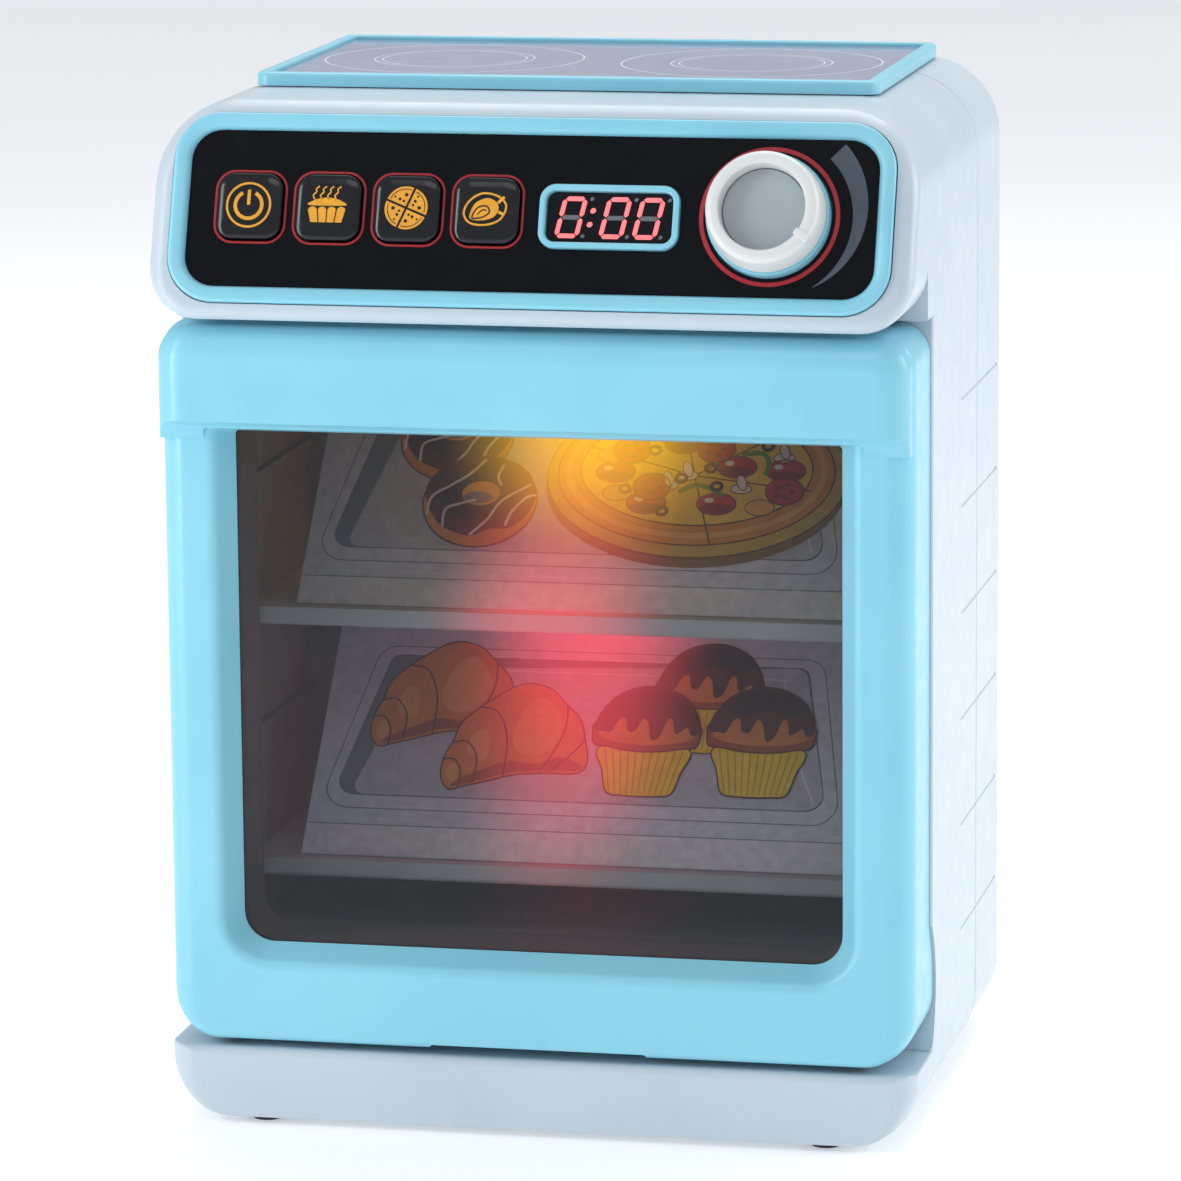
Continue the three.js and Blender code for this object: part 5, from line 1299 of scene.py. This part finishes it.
def croissant(art, x, y, level):
    """A croissant seen from the side, laid out from its left tip."""

    def at(*points):
        return [(x + a, y + b) for a, b in points]

    body = at((0, 0), (-2.7, 4.6), (-2.3, 11), (-0.6, 15.4), (1.2, 22), (8.5, 29.4), (17, 35), (25, 34), (31, 28.5))
    body += at((35.3, 24), (37.5, 17.5), (39, 10.3), (36.4, 6.6), (28, 6.2), (19, 5.4), (11, 3), (5, 1.2))
    shape(art, body, BUN, level)
    shade = at((1, 0.8), (3, 3.4), (9.5, 6.8), (16.3, 9.8), (24, 9.2), (31, 11.5), (36.5, 9.6), (36, 7.3), (19, 6.3), (9, 3.2))
    shape(art, shade, BUN_SHADE, level + 1, 0)
    light = at((16.5, 17), (18.5, 26.5), (24, 30.5), (29, 25.5), (30, 17.5), (25, 12.5), (19.5, 12.5))
    shape(art, light, BUN_LIGHT, level + 1, 0)
    for glint in (at((3.6, 13), (6.4, 19.5), (9.6, 18), (9.8, 10)), at((-1, 4), (0.2, 8.4), (2, 6.4), (1.6, 2.6))):
        shape(art, glint, BUN_LIGHT, level + 2, 0)
    folds = [
        at((-2.6, 9.5), (0.6, 9.6), (3.0, 5.6), (2.9, 0.6)),
        at((-0.8, 15), (3.4, 15.6), (7, 10.4), (6.9, 2.2)),
        at((5.5, 27), (11.2, 25.4), (15, 16.5), (15.3, 4.6)),
        at((31, 28.5), (31.3, 21), (28.6, 12.5), (25.6, 6.4)),
        at((37.5, 17.5), (34.5, 13), (31, 9.2), (28.6, 6.6)),
    ]
    for fold in folds:
        art.stroke(smooth(fold, closed=False), 0.42, LINE, level + 3)


def muffin(art, x, y, level):
    """A chocolate muffin in a folded paper cup, laid out from the middle of its foot."""

    def at(*points):
        return [(x + a, y + b) for a, b in points]

    cup = at((-9.2, 1.2), (-5, 0.2), (0, 0), (5, 0.2), (9.4, 1.2), (11.4, 8), (13, 15.5), (0, 17), (-13, 15.5), (-11.2, 8))
    shape(art, cup, PAPER_CUP, level)
    for i in range(11):
        share = (i - 5) / 5.6
        art.stroke([Vector((x + share * 9.2, y + 0.8)), Vector((x + share * 12.6, y + 15))], 0.5, CUP_FOLD, level + 1)
    crumb = at((-15.4, 19.5), (-14.2, 24), (0, 28), (14.2, 24), (15.4, 19.5), (14.4, 16.4), (10, 15.6), (6, 14.8))
    crumb += at((0, 14.4), (-6, 14.8), (-10, 15.6), (-14.4, 16.4))
    shape(art, crumb, BUN_SHADE, level + 2)
    warm = at((-13.8, 20), (-10, 17.8), (0, 16.6), (10, 17.8), (13.8, 20), (12, 25), (0, 27), (-12, 25))
    shape(art, warm, BUN, level + 3, 0)
    icing = at((-14.9, 21.4), (-14, 26.4), (-9.6, 32.6), (-3, 35.6), (4, 35.4), (10.5, 32), (14.4, 26), (14.9, 21.6))
    icing += at((13, 20.4), (11.6, 23), (9.6, 21.4), (8.2, 20.8), (7.2, 25), (5.4, 25.2), (3.8, 19.8), (1.6, 18.6))
    icing += at((0.4, 23.6), (-1.6, 25.4), (-3.6, 21.2), (-5.6, 21.6), (-6.4, 25.2), (-8.4, 25), (-10.4, 20.8), (-12.2, 21))
    outline = smooth(icing, steps=4)
    art.fill(outline, CHOCOLATE, level + 4)
    art.stroke(outline, 0.35, LINE, level + 5, closed=True)
    crown = at((-10.5, 28), (-6, 33), (0, 35), (7, 33.2), (12, 28.4), (8, 27), (0, 28.4), (-6, 26.6))
    shape(art, crown, CHOCOLATE_DARK, level + 5, 0)


def doughnut(art, x, y, level):
    """A doughnut seen at a slant, with chocolate icing and a white drizzle."""
    art.fill(ellipse(x, y, 16.3, 15), BUN, level)
    art.stroke(ellipse(x, y, 16.3, 15), 0.4, LINE, level + 1, closed=True)
    icing = [(-16, 2), (-14, 9), (-8, 13.6), (0, 14.8), (8, 13.4), (14, 8.4), (15.8, 1), (13.4, -5)]
    icing += [(9, -8.6), (4, -9), (-1, -11.4), (-7, -10), (-12, -6.4)]
    shape(art, [(x + a, y + b) for a, b in icing], CHOCOLATE, level + 2, 0)
    dark = [(-12, 1), (-8, 7), (0, 9.6), (8, 7), (12, 1), (8, -3.4), (0, -6.4), (-8, -4)]
    shape(art, [(x + a, y + b) for a, b in dark], CHOCOLATE_DARK, level + 3, 0)
    shape(art, ellipse(x, y + 2.6, 5.6, 4.2, 12), BUN_LIGHT, level + 4, 0.35)
    shape(art, ellipse(x - 0.6, y + 1.2, 4.2, 2.0, 10), TRAY_SHADE, level + 6, 0)
    lines = [
        [(-14.6, -5), (-14, 1), (-9, 5), (-4, 9), (0, 14)],
        [(-9.6, -8.6), (-9.4, -3), (-5, -0.8), (-1, 0.4)],
        [(5.4, 12.4), (4.2, 8.4), (5.6, 5.4)],
        [(-1.4, -11.2), (3, -6), (6.4, 0.4), (14, 6)],
        [(8.4, -8), (9.6, -3.4), (13, 1.4), (15.8, 2.6)],
    ]
    for line in lines:
        art.stroke(smooth([(x + a, y + b) for a, b in line], closed=False), 0.7, ICING, level + 7)


def pizza(art, x, y, level):
    """A round pizza on a wooden board, seen at a slant."""
    art.fill(ellipse(x, y - 3.0, 42.8, 27.2, 72), BOARD_SIDE, level)
    art.fill(ellipse(x, y, 42.8, 27.0, 72), BOARD_TOP, level + 1)
    art.stroke(ellipse(x, y, 42.8, 27.0, 72), 0.35, LINE, level + 2, closed=True)
    art.fill(ellipse(x - 0.4, y + 1.0, 39.4, 23.9, 72), CRUST, level + 2)
    art.stroke(ellipse(x - 0.4, y + 1.0, 39.4, 23.9, 72), 0.4, LINE, level + 3, closed=True)
    art.stroke(ellipse(x - 0.4, y + 1.6, 36.4, 21.4, 72), 1.8, CRUST_LIGHT, level + 3, closed=True)
    art.fill(ellipse(x - 0.4, y + 2.0, 33, 18.4, 64), CHEESE, level + 4)
    art.stroke(ellipse(x - 0.4, y + 2.0, 33, 18.4, 64), 0.4, LINE, level + 5, closed=True)
    for a, b in ((6.4, -22.6), (-32, 9), (-6, 19), (32.6, -4), (24, 16)):
        art.stroke([Vector((x - 0.7, y)), Vector((x + a, y + b))], 0.4, LINE, level + 5)
    for a, b in ((19, -10), (-25, 6), (-22, -6.4), (14, 15)):
        shape(art, ellipse(x + a, y + b, 4.2, 2.6, 10), CRUST_LIGHT, level + 6, 0.25)
    for a, b in ((-5, 10.8), (11, 3.2), (25, 2.4), (-23.4, 0.6), (-13.4, -9.4), (6.6, -9.2)):
        shape(art, ellipse(x + a, y + b, 5.6, 3.6, 14), TOMATO, level + 6, 0.3)
        shape(art, ellipse(x + a, y + b - 1.4, 4.4, 1.5, 10), TOMATO_SHADE, level + 8, 0)
        shape(art, ellipse(x + a - 2.2, y + b + 1.2, 1.3, 0.8, 10), ICING, level + 8, 0)
    for a, b in ((4.4, 9), (25.4, -4.4), (-12.4, -4), (-19.6, 8)):
        shape(art, ellipse(x + a, y + b, 5.4, 4.5, 14), TOMATO, level + 8, 0.3)
        for spot in circle(x + a, y + b, 2.3, 5):
            shape(art, ellipse(spot.x, spot.y, 0.9, 0.75, 8), TOMATO_SHADE, level + 10, 0)
    for a, b in ((-2.8, 2), (-8, -1.4), (13, -2), (24, 8.6)):
        shape(art, ellipse(x + a, y + b - 2, 3.0, 1.6, 10), ICING, level + 6, 0.25)
        shape(art, ellipse(x + a, y + b, 1.3, 2.6, 10, 20), ICING, level + 8, 0.25)
    for points in (((-4.6, -5.6), (0, -3.2), (5, -4.4), (8, -6.6)), ((12, 7.6), (18, 7.8), (20, 4), (19.4, 0.8))):
        art.stroke(smooth([(x + a, y + b) for a, b in points], closed=False), 1.5, PEPPER, level + 10)
    for a, b in ((-4.4, -1), (3.6, 2.6), (6, -3.4), (19, 10.4), (-13, 8), (-20, -5), (-8.6, -12)):
        art.stroke(ellipse(x + a, y + b, 1.5, 1.3, 14), 1.0, OLIVE, level + 12, closed=True)


def food_cards():
    upper = card_print("food_card_upper")
    tray(upper, 14.5, 88)
    doughnut(upper, -39.6, 56.6, 4)
    doughnut(upper, -29.9, 35, 13)
    pizza(upper, 31, 45.6, 4)
    upper.finish("food_picture_upper", "casing", "card")
    lower = card_print("food_card_lower")
    tray(lower, 15.4, 69)
    croissant(lower, -60.8, 35.8, 4)
    croissant(lower, -38.4, 22.6, 9)
    muffin(lower, 32.8, 37.2, 4)
    muffin(lower, 16.4, 22.4, 12)
    muffin(lower, 49.2, 23.4, 12)
    lower.finish("food_picture_lower", "casing", "card")


# ---------------------------------------------------------------- carried-over parts
CARRIED = {
    "keypad_mat": SILICONE,
    "display_module": MODULE,
    "knob_shaft": STEEL,
    "rotary_switch": MODULE,
    "control_board": BOARD,
    "oven_liner": LINER,
    "shelf_lower": SHELF_GREY,
    "shelf_upper": SHELF_GREY,
    "food_card_lower": CARD_PAPER,
    "food_card_upper": CARD_PAPER,
    "lamp_lens": AMBER,
    "lamp_board": BOARD,
    "catch_clip": STEEL,
    "door_inner_frame": FRAME_GREY,
    "door_striker": AQUA,
    "hinge_pin_left": STEEL,
    "hinge_pin_right": STEEL,
    "battery_box": WHITE,
    "battery_contact_left": STEEL,
    "battery_contact_right": STEEL,
    "battery_door": WHITE,
    "battery_door_screw": STEEL,
    "speaker": MODULE,
    "battery_lead": LEAD,
    "speaker_lead": LEAD,
}
for node in frame["nodes"]:
    if "screw" in node:
        CARRIED[node] = STEEL
    if node.startswith("foot_"):
        CARRIED[node] = RUBBER
    if node in ("battery_1", "battery_2", "battery_3"):
        CARRIED[node] = CELL
SOFT_EDGES = {"oven_liner": 0.5, "door_inner_frame": 0.4, "battery_door": 0.4, "shelf_lower": 0.3, "shelf_upper": 0.3}


def carry_over():
    """Gives the CAD parts that stay their materials, and a small rounding where their edges show."""
    for name, material in CARRIED.items():
        obj = frame["nodes"][name]
        obj.data.materials.clear()
        obj.data.materials.append(material)
        if name in SOFT_EDGES:
            obj.modifiers.new("welded", "WELD").merge_threshold = 0.001 * MM
            modifier = obj.modifiers.new("edges", "BEVEL")
            modifier.width = SOFT_EDGES[name] * MM
            modifier.segments = 2
            modifier.limit_method = "ANGLE"
            modifier.angle_limit = math.radians(35)


# ---------------------------------------------------------------- camera, floor and light
def camera():
    yaw, pitch, roll = (math.radians(angle) for angle in (12.19, 10.99, -0.49))
    distance = 1.7205
    target = Vector((0.01534, 0, 0)) + Vector((0, FRONT * MM + 0.013, BODY_TOP * MM - 0.1351))
    back = Vector((math.sin(yaw) * math.cos(pitch), -math.cos(yaw) * math.cos(pitch), math.sin(pitch)))
    right = Vector((math.cos(yaw), math.sin(yaw), 0))
    up = back.cross(right)
    turned_right = right * math.cos(roll) + up * math.sin(roll)
    turned_up = up * math.cos(roll) - right * math.sin(roll)
    data = bpy.data.cameras.new("camera")
    data.sensor_width = 36
    data.lens = 193.74
    data.shift_y = 0.0135
    data.clip_end = 20
    obj = bpy.data.objects.new("camera", data)
    scene.collection.objects.link(obj)
    axes = Matrix((turned_right, turned_up, back)).transposed().to_4x4()
    obj.matrix_world = Matrix.Translation(target + back * distance) @ axes
    scene.camera = obj


def area_light(name, place, size, power, colour=(1, 1, 1), target=(0, 0, 0.14)):
    data = bpy.data.lights.new(name, "AREA")
    data.shape = "RECTANGLE"
    data.size, data.size_y = size
    data.energy = power
    data.color = colour
    obj = bpy.data.objects.new(name, data)
    scene.collection.objects.link(obj)
    obj.location = place
    obj.rotation_euler = (Vector(target) - Vector(place)).to_track_quat("-Z", "Y").to_euler()


def studio():
    floor = block(-4000, 4000, -4000, 4000, -20, 0)
    floor.data.transform(Matrix.Scale(MM, 4))
    floor.name = "floor"
    look = Look("floor", (248, 249, 250), 0.7)
    look.tint(look.noise(400, 1), (246, 247, 249), (250, 251, 252))
    look.set("Emission Color", (1, 1, 1, 1))
    look.set("Emission Strength", 0.28)
    floor.data.materials.append(look.material)
    world = bpy.data.worlds.new("world")
    world.use_nodes = True
    background = world.node_tree.nodes["Background"]
    background.inputs["Color"].default_value = (0.93, 0.96, 1.0, 1)
    background.inputs["Strength"].default_value = 0.56
    scene.world = world
    area_light("key", (1.7, 0.4, 0.8), (0.9, 0.9), 11)
    area_light("front", (0.1, -1.0, 1.4), (1.0, 0.5), 2.2)
    area_light("left", (-0.75, -0.6, 0.35), (0.2, 0.9), 4.0, (0.95, 0.98, 1.0))
    area_light("top", (0, 0.7, 1.55), (1.2, 1.2), 13)
    scene.view_settings.view_transform = "Standard"


# ---------------------------------------------------------------- the object
camera()
studio()
front_shell()
back_shell()
hob()
bezel()
plate()
for button_node in BUTTONS:
    button(button_node)
display()
knob()
door()
window()
food_cards()
carry_over()
